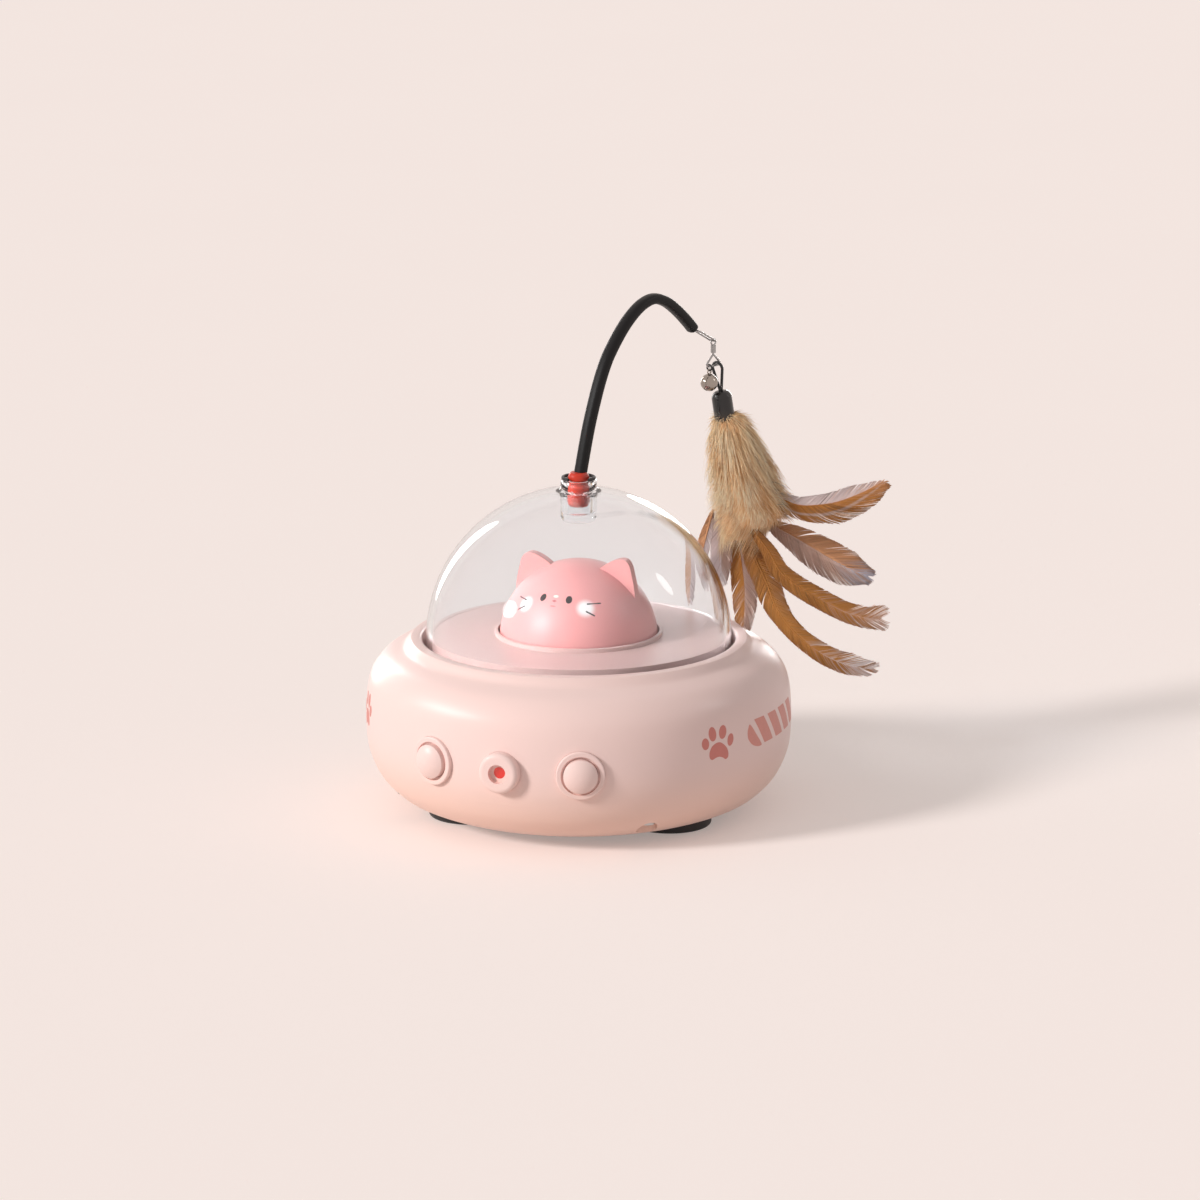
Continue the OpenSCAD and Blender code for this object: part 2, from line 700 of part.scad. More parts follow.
module button(a) color(body_pink) on_side(a) {
    translate([0, 0, -guide_l - slide_gap - flange_t]) cylinder(r = flange_r, h = flange_t);
    intersection() {
        translate([0, 0, -guide_l - slide_gap - flange_t])
            cylinder(r = button_d / 2, h = button_rise + guide_l + flange_t + cut);
        translate([0, 0, button_rise - button_curve]) sphere(r = button_curve, $fn = fine);
    }
    translate([0, 0, -stem_l]) cylinder(r = stem_r, h = stem_l - guide_l - slide_gap, $fn = 48);
}
module plunger(a) color(rubber_black) on_side(a) translate([0, 0, -stem_l - plunger_l])
    cylinder(r = plunger_r, h = plunger_l, $fn = 48);
module switch(a) color(rubber_black) on_side(a) difference() {
    translate([-switch_w / 2, -switch_w / 2, switch_base]) cube([switch_w, switch_w, switch_t]);
    translate([0, 0, -stem_l - plunger_l - button_travel - slide_gap])
        cylinder(r = plunger_r + slip, h = plunger_l + stem_l, $fn = 48);
}
module switch_board(a) color(board_green) difference() {
    on_side(a) translate([-switch_board_w / 2, -switch_board_h / 2, switch_base - switch_board_t])
        cube([switch_board_w, switch_board_h, switch_board_t]);
    at_pillars(a) translate([0, 0, switch_base - switch_board_t - cut])
        cylinder(r = m2_r + slip, h = switch_board_t + 2 * cut, $fn = 32);
}
module button_collar_left() button_collar(-button_turn);
module button_collar_right() button_collar(button_turn);
module button_left() button(-button_turn);
module button_right() button(button_turn);
module plunger_left() plunger(-button_turn);
module plunger_right() plunger(button_turn);
module switch_left() switch(-button_turn);
module switch_right() switch(button_turn);
module switch_board_left() switch_board(-button_turn);
module switch_board_right() switch_board(button_turn);

// Electronics and power

// A flat shape with round ends
module slot_shape(w, h) {
    square([w - h, h], center = true);
    for (s = [-1, 1]) translate([s * (w - h) / 2, 0]) circle(d = h, $fn = 48);
}
module control_board() color(board_green) difference() {
    translate([-board_w / 2, board_y, board_z]) cube([board_w, board_end - board_y, board_t]);
    at_board_posts() translate([0, 0, board_z - cut])
        cylinder(r = m2_r + slip, h = board_t + 2 * cut, $fn = 32);
}
module control_parts() color(rubber_black) translate([0, board_y, board_z + board_t]) {
    translate([-chip_w / 2, board_l / 2 - chip_w, 0]) cube([chip_w, chip_w, chip_t]);
    translate([-board_w / 2 + cap_can_r + board_t, board_l / 2, 0]) cylinder(r = cap_can_r, h = cap_can_h);
    translate([board_w / 2 - coil_w - board_t, board_l / 2 - coil_w / 2, 0]) cube([coil_w, coil_w, coil_h]);
    for (x = [-1, 1]) translate([x * connector_x - connector_w / 2, 0, 0])
        cube([connector_w, connector_d, connector_h]);
}
module charge_port() color(steel) translate([0, 0, port_z]) {
    difference() {
        translate([0, port_y, 0]) rotate([-90, 0, 0]) linear_extrude(port_l) slot_shape(port_w, port_h);
        translate([0, port_y + port_back, 0]) rotate([-90, 0, 0]) linear_extrude(port_l)
            slot_shape(port_w - 2 * port_skin, port_h - 2 * port_skin);
    }
    translate([-port_tongue_w / 2, port_y + port_back / 2, -port_tongue_t / 2])
        cube([port_tongue_w, port_l - 2 * port_back, port_tongue_t]);
}
module board_screws() color(steel) {
    at_board_posts() translate([0, 0, board_z + board_t]) mirror([0, 0, 1])
        screw(m2_r, board_t + board_screw_l - slide_gap, m2_head_r, m2_head_h);
    for (a = [-button_turn, button_turn]) at_pillars(a) translate([0, 0, switch_base - switch_board_t])
        screw(m2_r, switch_board_t + board_screw_l - slide_gap, m2_head_r, m2_head_h);
    at_motor() at_ears() translate([0, 0, deck_z - deck_t - bracket_h])
        screw(m2_r, bracket_h + deck_t, m2_head_r, m2_head_h);
}
module battery() color([0.25, 0.45, 0.75]) translate([-battery_l / 2, -battery_y, battery_z])
    rotate([0, 90, 0]) {
        cylinder(r = battery_d / 2, h = battery_l - nub_l);
        cylinder(r = nub_r, h = battery_l, $fn = 48);
    }
module battery_cradle() color(white_plastic) translate([0, -battery_y, floor_top]) difference() {
    union() {
        translate([-cradle_l / 2, -battery_d / 2 - cradle_wall, 0])
            cube([cradle_l, battery_d + 2 * cradle_wall, cradle_h]);
        translate([-cell_room / 2 - cradle_end_t, -cradle_end_w / 2, 0])
            cube([cell_room + 2 * cradle_end_t, cradle_end_w, cradle_end_h]);
    }
    translate([-cell_room / 2, 0, battery_z - floor_top]) rotate([0, 90, 0])
        cylinder(r = battery_d / 2 + slide_gap, h = cell_room);
    translate([-cell_room / 2, -contact_w / 2, battery_z - floor_top])
        cube([cell_room, contact_w, cradle_end_h]);
}
module battery_contacts() color(steel) for (s = [-1, 1])
    translate([s * (cell_room / 2 - contact_t / 2), -battery_y, battery_z])
        cube([contact_t, contact_w - 2 * slide_gap, contact_w], center = true);
module at_motor() rotate([0, 0, motor_turn]) translate([centre_distance, 0, 0]) children();
module at_ears() for (s = [-1, 1]) translate([0, s * ear_hole_y, 0]) children();
module drive_motor() color(steel) at_motor() difference() {
    union() {
        translate([-motor_w / 2, -motor_d / 2, deck_z - deck_t - gearbox_l])
            cube([motor_w, motor_d, gearbox_l]);
        translate([0, 0, deck_z - deck_t - motor_l]) intersection() {
            cylinder(r = motor_w / 2, h = motor_l - gearbox_l + cut);
            translate([-motor_w / 2, -motor_d / 2, 0]) cube([motor_w, motor_d, motor_l]);
        }
        translate([0, 0, deck_z - deck_t - gearbox_l])
            cylinder(r = motor_nose_r, h = gearbox_l + motor_nose_l, $fn = 48);
        for (s = [-1, 1]) translate([s * tab_x - tab_w / 2, -tab_t / 2, deck_z - deck_t - motor_l])
            translate([0, 0, -tab_l]) cube([tab_w, tab_t, tab_l + cut]);
    }
    translate([0, 0, deck_z - deck_t - shaft_seat - slide_gap])
        cylinder(r = shaft_d / 2 + slip, h = shaft_seat + deck_t, $fn = 48);
}
module motor_bracket() color(steel) at_motor()
    translate([0, 0, deck_z - deck_t - bracket_h]) difference() {
    translate([-motor_w / 2 - bracket_t, -bracket_l / 2, 0])
        cube([motor_w + 2 * bracket_t, bracket_l, bracket_h]);
    translate([-motor_w / 2 - slide_gap, -motor_d / 2 - slide_gap, -cut])
        cube([motor_w + 2 * slide_gap, motor_d + 2 * slide_gap, bracket_h + 2 * cut]);
    at_ears() translate([0, 0, -cut]) cylinder(r = m2_r + slip, h = bracket_h + 2 * cut, $fn = 32);
}

// Gears: the flanks are involutes of the base circle

pressure_angle = 25;
tooth_points = 3;
function involute_turn(r, base_r) =
    let (a = acos(min(base_r / r, 1))) tan(a) * 180 / PI - a;
function half_tooth(r, teeth, pitch, base_r) =
    90 / teeth - backlash / pitch * 45 / PI
        + involute_turn(pitch, base_r) - involute_turn(max(r, base_r), base_r);
module gear_shape(teeth) {
    pitch = gear_module * teeth / 2;
    base_r = pitch * cos(pressure_angle);
    root = pitch - gear_module * dedendum_share;
    tip = pitch + gear_module * addendum_share;
    low = max(root, base_r);
    radii = concat([root], [for (k = [0:tooth_points]) low + (tip - low) * k / tooth_points]);
    flank = root < base_r ? radii : pick(radii, 1, tooth_points + 1);
    polygon([for (i = [0:teeth - 1], s = [-1, 1], r = s < 0 ? flank : reversed(flank))
        let (a = i * 360 / teeth + s * half_tooth(r, teeth, pitch, base_r)) r * [cos(a), sin(a)]]);
}
dedendum_share = 1.2;
addendum_share = 0.9;
backlash_share = 0.16;
backlash = backlash_share * gear_module;

module drive_gear() color(white_plastic) rotate([0, 0, motor_turn])
    translate([0, 0, gear_top - gear_w]) difference() {
    linear_extrude(gear_w) gear_shape(gear_teeth);
    translate([0, 0, -cut]) cylinder(r = hub_r + slip, h = gear_w + 2 * cut);
}
module pinion() color(white_plastic) at_motor() translate([0, 0, gear_top - gear_w]) difference() {
    rotate([0, 0, 180 + 180 / pinion_teeth]) linear_extrude(gear_w) gear_shape(pinion_teeth);
    translate([0, 0, -cut]) cylinder(r = shaft_d / 2 + slip, h = gear_w + 2 * cut, $fn = 48);
}
module motor_shaft() color(steel) at_motor() translate([0, 0, deck_z - deck_t - shaft_seat])
    cylinder(r = shaft_d / 2, h = gear_top - deck_z + deck_t + shaft_seat, $fn = 48);

// Turntable, dome and socket

module turntable_plate() color(plate_pink) rotate_extrude($fn = fine) polygon([
    [post_r + slip, hub_z], [hub_r, hub_z], [hub_r, gear_top],
    [hub_r + gear_seat_w, gear_top], [hub_r + gear_seat_w, well_floor - web_t],
    [well_r + well_wall_t, well_floor - web_t], [well_r + well_wall_t, plate_z - plate_t],
    [plate_r - rim_wall, plate_z - plate_t], [plate_r - rim_wall, plate_z - rim_drop],
    [dome_r, plate_z - rim_drop], [dome_r, plate_z - rim_drop + rim_flange_t],
    [plate_r, plate_z - rim_drop + rim_flange_t], [plate_r, plate_z],
    [well_r + collar_w, plate_z], [well_r + collar_w, plate_z + collar_rise - collar_w / 4],
    [well_r + collar_w * 3 / 4, plate_z + collar_rise], [well_r, plate_z + collar_rise],
    [well_r, well_floor], [post_r + slip, well_floor]
]);
module dome() color(clear_blue) translate([0, 0, dome_z]) rotate_extrude($fn = fine) difference() {
    union() {
        difference() {
            bowl(dome_r, dome_skirt);
            bowl(dome_r - dome_wall, dome_skirt + cut);
        }
        translate([0, socket_top - socket_l]) {
            translate([0, socket_round]) square([socket_d / 2, socket_l - socket_round]);
            square([socket_d / 2 - socket_round, socket_l]);
            translate([socket_d / 2 - socket_round, socket_round]) circle(r = socket_round);
        }
    }
    translate([0, socket_top - socket_l + socket_floor]) square([plug_d / 2 + plug_fit, socket_l]);
    translate([0, socket_top]) square([dome_r, cut]);
}
module socket_ring() color(rubber_black) translate([0, 0, dome_z + socket_top + ring_wire])
    rotate([0, 0, ring_turn - 90 + ring_opening / 2]) rotate_extrude(angle = 360 - ring_opening)
        translate([socket_d / 2 - ring_inset, 0]) circle(r = ring_wire, $fn = 32);

// Wand

// Half outline of the plug from its foot to its top, as shares of its radius and its length
plug_shares = [
    [0.5, 0], [0.78, 0.03], [0.94, 0.11], [1, 0.24], [1, 0.52], [0.95, 0.6], [0.86, 0.66],
    [0.86, 0.7], [0.95, 0.76], [0.95, 0.85], [0.88, 0.94], [0.72, 1]
];
module wand_plug() color(plug_orange) translate([0, 0, plug_z]) rotate_extrude()
    polygon(concat([[0, 0]], [for (s = smooth(plug_shares, 2)) [s[0] * plug_d / 2, s[1] * plug_l]],
        [[0, plug_l]]));

// The wand's bend, as shares of its reach and its rise
wand_shares = [
    [0, 0], [0.029, 0.12], [0.09, 0.336], [0.166, 0.541], [0.228, 0.669], [0.288, 0.755],
    [0.383, 0.86], [0.48, 0.938], [0.571, 0.984], [0.663, 0.998], [0.767, 0.966],
    [0.869, 0.9], [0.957, 0.828], [1, 0.788]
];
wand_end_share = wand_shares[len(wand_shares) - 1][1];
wand_rise = (rim_z + wand_end_h - wand_foot_z) / wand_end_share;
wand_line = smooth([for (s = wand_shares) [s[0] * wand_reach, s[1] * wand_rise + wand_foot_z]], 2);
wand_end = wand_line[len(wand_line) - 1];
pivot = wand_end + (eye_stub + eye_l) * [cos(eye_slope), -sin(eye_slope)];
wand_sides = 16;
wand_corner = 0.75; // how round the wand's section is: 1 is an oval
function rounded(c) = sign(c) * pow(abs(c), wand_corner);
function wand_ring(p, t, size) = [for (k = [0:wand_sides - 1]) let (a = k * 360 / wand_sides)
    [p[0] + t[1] * rounded(cos(a)) * wand_t / 2 * size, rounded(sin(a)) * wand_w / 2 * size,
        p[1] - t[0] * rounded(cos(a)) * wand_t / 2 * size]];
module wand() color(rubber_black) rotate([0, 0, wand_turn]) {
    n = len(wand_line) - 1;
    t = unit(wand_line[n] - wand_line[n - 1]);
    skin(concat(
        [for (i = [0:n]) wand_ring(wand_line[i],
            unit(wand_line[min(i + 1, n)] - wand_line[max(i - 1, 0)]), 1)],
        [wand_ring(wand_line[n] + t * wand_end_round, t, 1 - wand_end_round / wand_t)]));
}
module at_wand_end() rotate([0, 0, wand_turn]) translate([wand_end[0], 0, wand_end[1]])
    rotate([0, eye_slope, 0]) children();
module wand_eye() color(steel) at_wand_end() {
    rod([-eye_root, 0, 0], [eye_stub, 0, 0], eye_wire);
    for (s = [-1, 1])
        rod([eye_stub + eye_r, s * eye_r, 0], [eye_stub + eye_l - eye_corner, s * eye_r, 0], eye_wire);
    translate([eye_stub + eye_r, 0, 0]) rotate([0, 0, 90]) rotate_extrude(angle = 180)
        translate([eye_r, 0]) circle(r = eye_wire, $fn = 24);
    // The far end is squared, and the swivel hangs on its straight bar
    for (a = [0, -90]) translate([eye_stub + eye_l - eye_corner, (eye_r - eye_corner) * (a == 0 ? 1 : -1), 0])
        rotate([0, 0, a]) rotate_extrude(angle = 90)
            translate([eye_corner, 0]) circle(r = eye_wire, $fn = 24);
    rod([eye_stub + eye_l, eye_corner - eye_r, 0], [eye_stub + eye_l, eye_r - eye_corner, 0], eye_wire);
}

// Swivel, hook, bell and lure

module at_pivot() rotate([0, 0, wand_turn]) translate([pivot[0], 0, pivot[1]]) children();
module swivel() color(steel) at_pivot() difference() {
    union() {
        translate([0, 0, -swivel_hang]) rotate([90, 0, 0]) ring(swivel_r, eye_wire);
        translate([0, 0, -barrel_low]) cylinder(r = barrel_r, h = barrel_l, $fn = 48);
    }
    translate([0, 0, -barrel_low - cut]) cylinder(r = hook_wire + slip, h = shank_l + cut, $fn = 32);
}
module snap_hook() color(steel) at_pivot() {
    wire([
        [0, 0, -barrel_low + shank_l - slide_gap - hook_wire], [0, 0, -hook_top],
        [bell_x - hook_side, 0, -hook_drop + hook_corner],
        [bell_x - hook_side + hook_corner / 2, 0, -hook_drop],
        [lure_x + hook_side - hook_corner / 2, 0, -hook_drop],
        [lure_x + hook_side, 0, -hook_drop + hook_corner]
    ], hook_wire);
    rod([lure_x + hook_side, 0, -hook_drop + hook_corner], [0, 0, -hook_top], hook_wire);
}
module at_bell() at_pivot() translate([bell_x, 0, -hook_drop]) children();
module bell_ring() color(steel) at_bell() translate([0, 0, -jump_hang])
    rotate([0, 90, 0]) ring(jump_r, jump_wire);
module bell() color(steel) at_bell() {
    translate([0, 0, -shank_drop]) rotate([90, 0, 0]) ring(bell_shank_r, jump_wire);
    translate([0, 0, -bell_drop]) difference() {
        sphere(r = bell_d / 2);
        sphere(r = bell_d / 2 - bell_wall);
        for (a = [0, 90]) rotate([0, 0, a]) translate([-bell_slot_l / 2, -bell_slot_w / 2, -bell_d])
            cube([bell_slot_l, bell_slot_w, bell_d - bell_slot_rise]);
        for (a = [0:90:270]) rotate([0, 0, a]) translate([bell_slot_l / 2, 0, -bell_d])
            cylinder(r = bell_slot_w, h = bell_d - bell_slot_rise, $fn = 32);
    }
}
module bell_pellet() color(steel) at_bell()
    translate([0, 0, -bell_drop - bell_d / 2 + bell_wall + pellet_r + slip]) sphere(r = pellet_r, $fn = 48);

module at_lure() rotate([0, 0, wand_turn]) translate([pivot[0] + lure_x, 0, pivot[1] - hook_drop])
    rotate([0, 0, fan_turn - wand_turn]) children();
module leaning() at_lure() rotate([0, -lure_lean, 0]) children();
module lure_loop() color(rubber_black) leaning() rotate([0, 0, wand_turn - fan_turn]) {
    translate([0, 0, -loop_hang]) rotate([90, 0, 90]) rotate_extrude(angle = 180)
        translate([loop_r, 0]) circle(r = loop_wire, $fn = 24);
    for (s = [-1, 1]) {
        rod([0, s * loop_r, -loop_hang], [0, s * (cap_hole_r - slip - loop_wire), -cap_drop], loop_wire);
        translate([0, s * loop_r, -loop_hang]) sphere(r = loop_wire, $fn = 24);
    }
    translate([0, 0, -cap_drop - knot_l]) cylinder(r = cap_hole_r - slip, h = knot_l, $fn = 32);
}
module lure_cap() color(rubber_black) leaning() rotate_extrude() polygon(concat(
    [[cap_d / 2 - cap_wall, -cap_drop - cap_l], [cap_d / 2, -cap_drop - cap_l]],
    arc([cap_hole_r, -cap_drop - cap_d / 2 + cap_hole_r], cap_d / 2 - cap_hole_r, 0, 90, 8),
    [[cap_hole_r, -cap_drop - cap_roof], [cap_d / 2 - cap_wall, -cap_drop - cap_roof]]));

// Rings of the fur bunch as shares of the lure's drop: middle, height, half width, half depth
fur_shares = [
    [0.036, -0.199, 0.04, 0.036], [0.052, -0.235, 0.078, 0.06], [0.066, -0.31, 0.098, 0.076],
    [0.098, -0.4, 0.124, 0.09], [0.118, -0.48, 0.14, 0.095], [0.108, -0.545, 0.122, 0.085],
    [0.08, -0.595, 0.085, 0.06], [0.062, -0.625, 0.04, 0.03]
];
fur_sides = 16;
module fur_bunch() color(fur_tan) {
    leaning() translate([0, 0, -cap_drop - cap_l - fur_overlap])
        cylinder(r = cap_d / 2 - cap_wall - slide_gap, h = cap_l - cap_roof + fur_overlap - slide_gap);
    at_lure() skin([for (s = fur_shares) [for (k = [0:fur_sides - 1]) let (a = -k * 360 / fur_sides)
        lure_drop * [s[0] + s[2] * cos(a), s[3] * sin(a), s[1]]]]);
}

// Middle lines of the feathers, from the root to the tip, and their widths along them, all as
// shares of the lure's drop
feather_shares = [
    [[0.085, -0.01, -0.37], [0.17, -0.015, -0.45], [0.257, -0.02, -0.5], [0.347, -0.025, -0.51],
        [0.44, -0.03, -0.5], [0.52, -0.035, -0.463], [0.57, -0.04, -0.415]],
    [[0.105, 0.025, -0.455], [0.16, 0.025, -0.503], [0.23, 0.025, -0.555], [0.305, 0.03, -0.613],
        [0.385, 0.035, -0.675], [0.46, 0.04, -0.728], [0.53, 0.045, -0.768]],
    [[0.08, -0.045, -0.52], [0.125, -0.045, -0.6], [0.174, -0.045, -0.677], [0.232, -0.045, -0.723],
        [0.308, -0.05, -0.783], [0.385, -0.055, -0.829], [0.461, -0.06, -0.862], [0.544, -0.065, -0.888]],
    [[0.045, 0, -0.5], [0.091, 0, -0.591], [0.142, 0, -0.69], [0.174, -0.005, -0.789],
        [0.2, -0.015, -0.868], [0.257, -0.03, -0.934], [0.346, -0.045, -1], [0.423, -0.06, -1.033],
        [0.506, -0.075, -1.046]],
    [[0.03, 0.035, -0.52], [0.068, 0.035, -0.618], [0.086, 0.035, -0.697], [0.1, 0.035, -0.776],
        [0.104, 0.035, -0.855], [0.095, 0.035, -0.93]],
    [[0, 0.01, -0.48], [0.005, 0.015, -0.59], [0.008, 0.02, -0.69], [0.012, 0.02, -0.77],
        [0.02, 0.02, -0.86]],
    [[-0.02, -0.01, -0.48], [-0.04, -0.015, -0.59], [-0.06, -0.015, -0.68], [-0.075, -0.015, -0.76]]
];
feather_width_shares = [
    [0.015, 0.035, 0.08, 0.115, 0.12, 0.09, 0.012],
    [0.012, 0.03, 0.07, 0.105, 0.12, 0.105, 0.02],
    [0.012, 0.03, 0.05, 0.065, 0.07, 0.065, 0.05, 0.015],
    [0.012, 0.06, 0.09, 0.09, 0.075, 0.07, 0.075, 0.065, 0.015],
    [0.012, 0.05, 0.075, 0.08, 0.075, 0.015],
    [0.012, 0.06, 0.08, 0.08, 0.02],
    [0.012, 0.05, 0.06, 0.015]
];
// One section of a feather: a flat diamond whose width lies across the middle line
function feather_ring(p, t, w) = let (side = unit([t[2], 0, -t[0]]))
    [p + side * w / 2, p + [0, feather_t / 2, 0], p - side * w / 2, p - [0, feather_t / 2, 0]];
module feather(i, tint) color(tint) at_lure() {
    line = smooth(lure_drop * feather_shares[i], 2);
    widths = smooth([for (w = feather_width_shares[i]) [w * lure_drop, 0]], 2);
    n = len(line) - 1;
    skin([for (k = [0:n])
        feather_ring(line[k], unit(line[min(k + 1, n)] - line[max(k - 1, 0)]), widths[k][0])]);
}
module feather_1() feather(0, feather_gold);
module feather_2() feather(1, feather_grey);
module feather_3() feather(2, feather_gold);
module feather_4() feather(3, feather_gold);
module feather_5() feather(4, feather_gold);
module feather_6() feather(5, feather_grey);
module feather_7() feather(6, feather_grey);

upper_housing();
lower_housing();
foot_1();
foot_2();
foot_3();
housing_screws();
deck();
deck_screws();
thrust_washer();
post_clip();
head_carrier();
head_screw();
cat_head();
laser_bezel();
laser_lens();
laser_module();
button_collar_left();
button_collar_right();
switch_left();
switch_right();
switch_board_left();
switch_board_right();
control_board();
control_parts();
charge_port();
board_screws();
battery();
battery_cradle();
battery_contacts();
drive_motor();
motor_bracket();
turntable_plate();
drive_gear();
dome();
socket_ring();
motor_shaft();
pinion();
button_left();
plunger_left();
button_right();
plunger_right();
wand_plug();
wand();
wand_eye();
swivel();
snap_hook();
bell();
bell_ring();
bell_pellet();
lure_loop();
lure_cap();
fur_bunch();
feather_1();
feather_2();
feather_3();
feather_4();
feather_5();
feather_6();
feather_7();
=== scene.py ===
import bisect
import math
import random

import bmesh
import bpy
import numpy as np
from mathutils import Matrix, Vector, noise
from mathutils.bvhtree import BVHTree


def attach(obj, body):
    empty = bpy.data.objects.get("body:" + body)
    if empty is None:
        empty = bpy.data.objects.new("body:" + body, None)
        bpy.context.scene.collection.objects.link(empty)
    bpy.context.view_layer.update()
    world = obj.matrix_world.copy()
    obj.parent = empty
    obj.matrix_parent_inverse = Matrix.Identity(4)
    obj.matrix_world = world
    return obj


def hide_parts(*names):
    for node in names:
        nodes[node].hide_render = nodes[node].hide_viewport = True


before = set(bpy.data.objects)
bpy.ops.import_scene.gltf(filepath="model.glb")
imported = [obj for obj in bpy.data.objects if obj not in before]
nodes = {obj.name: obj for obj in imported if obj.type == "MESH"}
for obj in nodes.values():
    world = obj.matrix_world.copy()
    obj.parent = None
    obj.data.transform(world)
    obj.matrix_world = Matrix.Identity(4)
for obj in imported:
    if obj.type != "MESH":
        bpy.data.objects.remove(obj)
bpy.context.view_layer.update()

# Floor, camera and light. The toy stands on a plain cream floor that runs on behind it, and the
# camera is a long lens a little to the right of the front. One broad soft lamp lights it from the
# left, four panels show only in gloss, and an even glow comes from all round.
view_turn = math.radians(20.3)
view_rise = math.radians(13.8)
lens_mm, sensor_mm = 135, 36
frame_width = 0.400
right_of_view = Vector((math.cos(view_turn), math.sin(view_turn), 0))
back_of_view = Vector((-math.sin(view_turn), math.cos(view_turn), 0))
aim = 0.0071 * right_of_view + Vector((0, 0, 0.0700))


def paint(red, green, blue):
    """A colour as a chart gives it, from 0 to 255, in the light that it throws back."""
    shares = (c / 255 for c in (red, green, blue))
    return tuple(c / 12.92 if c <= 0.04045 else ((c + 0.055) / 1.055) ** 2.4 for c in shares) + (1,)


def shade(colour, share):
    """The same colour, darker or lighter by a share."""
    return tuple(min(c * share, 1) for c in colour[:3]) + (1,)


class Signal:
    """What comes out of a node. Arithmetic with it adds the Math nodes that work it out."""

    def __init__(self, finish, socket):
        self.finish, self.socket = finish, socket

    def math(self, operation, *others):
        return self.finish.add("ShaderNodeMath", {"operation": operation}, [self, *others])

    def __add__(self, other):
        return self.math("ADD", other)

    def __mul__(self, other):
        return self.math("MULTIPLY", other)

    def __sub__(self, other):
        return self.math("SUBTRACT", other)

    def __truediv__(self, other):
        return self.math("DIVIDE", other)

    def __rsub__(self, other):
        return self.finish.add("ShaderNodeMath", {"operation": "SUBTRACT"}, [other, self])

    def __abs__(self):
        return self.math("ABSOLUTE")

    __radd__, __rmul__ = __add__, __mul__

    def sine(self):
        return self.math("SINE")

    def highest(self, other):
        return self.math("MAXIMUM", other)

    def rise(self, low, high):
        """0 below low and 1 above high, with a soft step between them."""
        return self.finish.add("ShaderNodeMapRange", {"interpolation_type": "SMOOTHSTEP"},
                               {"Value": self, "From Min": low, "From Max": high})


class Finish:
    """One material. It starts as a plain surface, and add() puts in every node that shapes it."""

    def __init__(self, name, colour=None, **values):
        self.material = bpy.data.materials.new(name)
        self.material.use_nodes = True
        self.tree = self.material.node_tree
        self.surface = self.tree.nodes["Principled BSDF"]
        self.output = self.tree.nodes["Material Output"]
        if colour:
            self.give("Base Color", colour)
        for key, value in values.items():
            self.give(key.replace("_", " ").title().replace("Ior", "IOR"), value)

    def put(self, socket, value):
        if isinstance(value, Signal):
            self.tree.links.new(value.socket, socket)
        else:
            socket.default_value = value

    def give(self, name, value):
        self.put(self.surface.inputs[name], value)

    def add(self, kind, settings=None, inputs=(), out=0):
        node = self.tree.nodes.new(kind)
        for key, value in (settings or {}).items():
            if key == "stops":
                ramp = node.color_ramp
                while len(ramp.elements) < len(value):
                    ramp.elements.new(1)
                for element, (place, colour) in zip(ramp.elements, value):
                    element.position, element.color = place, colour
            else:
                setattr(node, key, value)
        pairs = inputs.items() if isinstance(inputs, dict) else enumerate(inputs)
        for key, value in pairs:
            self.put(node.inputs[key], value)
        return Signal(self, node.outputs[out])

    def place(self):
        return self.add("ShaderNodeTexCoord", out="Object")

    def parts_of(self, vector):
        split = self.add("ShaderNodeSeparateXYZ", inputs=[vector]).socket.node
        return [Signal(self, s) for s in split.outputs]

    def noise(self, vector, scale, detail=2, stretch=None):
        if stretch:
            vector = self.add("ShaderNodeMapping", inputs={"Vector": vector, "Scale": stretch})
        return self.add("ShaderNodeTexNoise", inputs={"Vector": vector, "Scale": scale, "Detail": detail})

    def blend(self, a, b, share):
        return self.add("ShaderNodeMix", {"data_type": "RGBA"}, {0: share, 6: a, 7: b}, out=2)

    def relief(self, height, depth):
        """Raises the surface by height times depth, in metres."""
        self.give("Normal", self.add("ShaderNodeBump", inputs={"Height": height, "Distance": depth}))

    def seen_or_mirrored(self):
        """1 for what the camera sees, straight or in gloss or through something clear, and 0 for
        light that has been thrown back by a matt surface on its way."""
        path = self.add("ShaderNodeLightPath").socket.node.outputs
        rays = [Signal(self, path[n]) for n in ("Is Camera Ray", "Is Glossy Ray", "Is Transmission Ray")]
        first_sight = 1 - Signal(self, path["Diffuse Depth"]).math("MINIMUM", 1.0)
        return rays[0].highest(rays[1]).highest(rays[2]) * first_sight


backdrop_cream = paint(243, 230, 224)
floor_cream = paint(233, 221, 217)
floor_lift = 0.335
floor_reach = 12.0


def finish_of_floor():
    f = Finish("floor cream", floor_cream, roughness=0.9, specular_ior_level=0.0)
    speckle = f.noise(f.place(), 6, 3)
    f.give("Base Color", f.blend(floor_cream, shade(floor_cream, 0.985), speckle))
    glow = f.add("ShaderNodeEmission", inputs=[shade(backdrop_cream, floor_lift), f.seen_or_mirrored()])
    both = f.add("ShaderNodeAddShader", inputs=[Signal(f, f.surface.outputs[0]), glow])
    f.put(f.output.inputs[0], both)
    return f.material


def plain_mesh(name, points, faces, smooth=True):
    mesh = bpy.data.meshes.new(name)
    mesh.from_pydata([tuple(p) for p in points], [], faces)
    mesh.validate()
    mesh.update()
    for polygon in mesh.polygons:
        polygon.use_smooth = smooth
    piece = bpy.data.objects.new(name, mesh)
    bpy.context.scene.collection.objects.link(piece)
    return piece


floor = plain_mesh("floor", [(x * floor_reach, y * floor_reach, 0) for x, y in
                             ((-1, -1), (1, -1), (1, 1), (-1, 1))], [(0, 1, 2, 3)])
floor.data.materials.append(finish_of_floor())

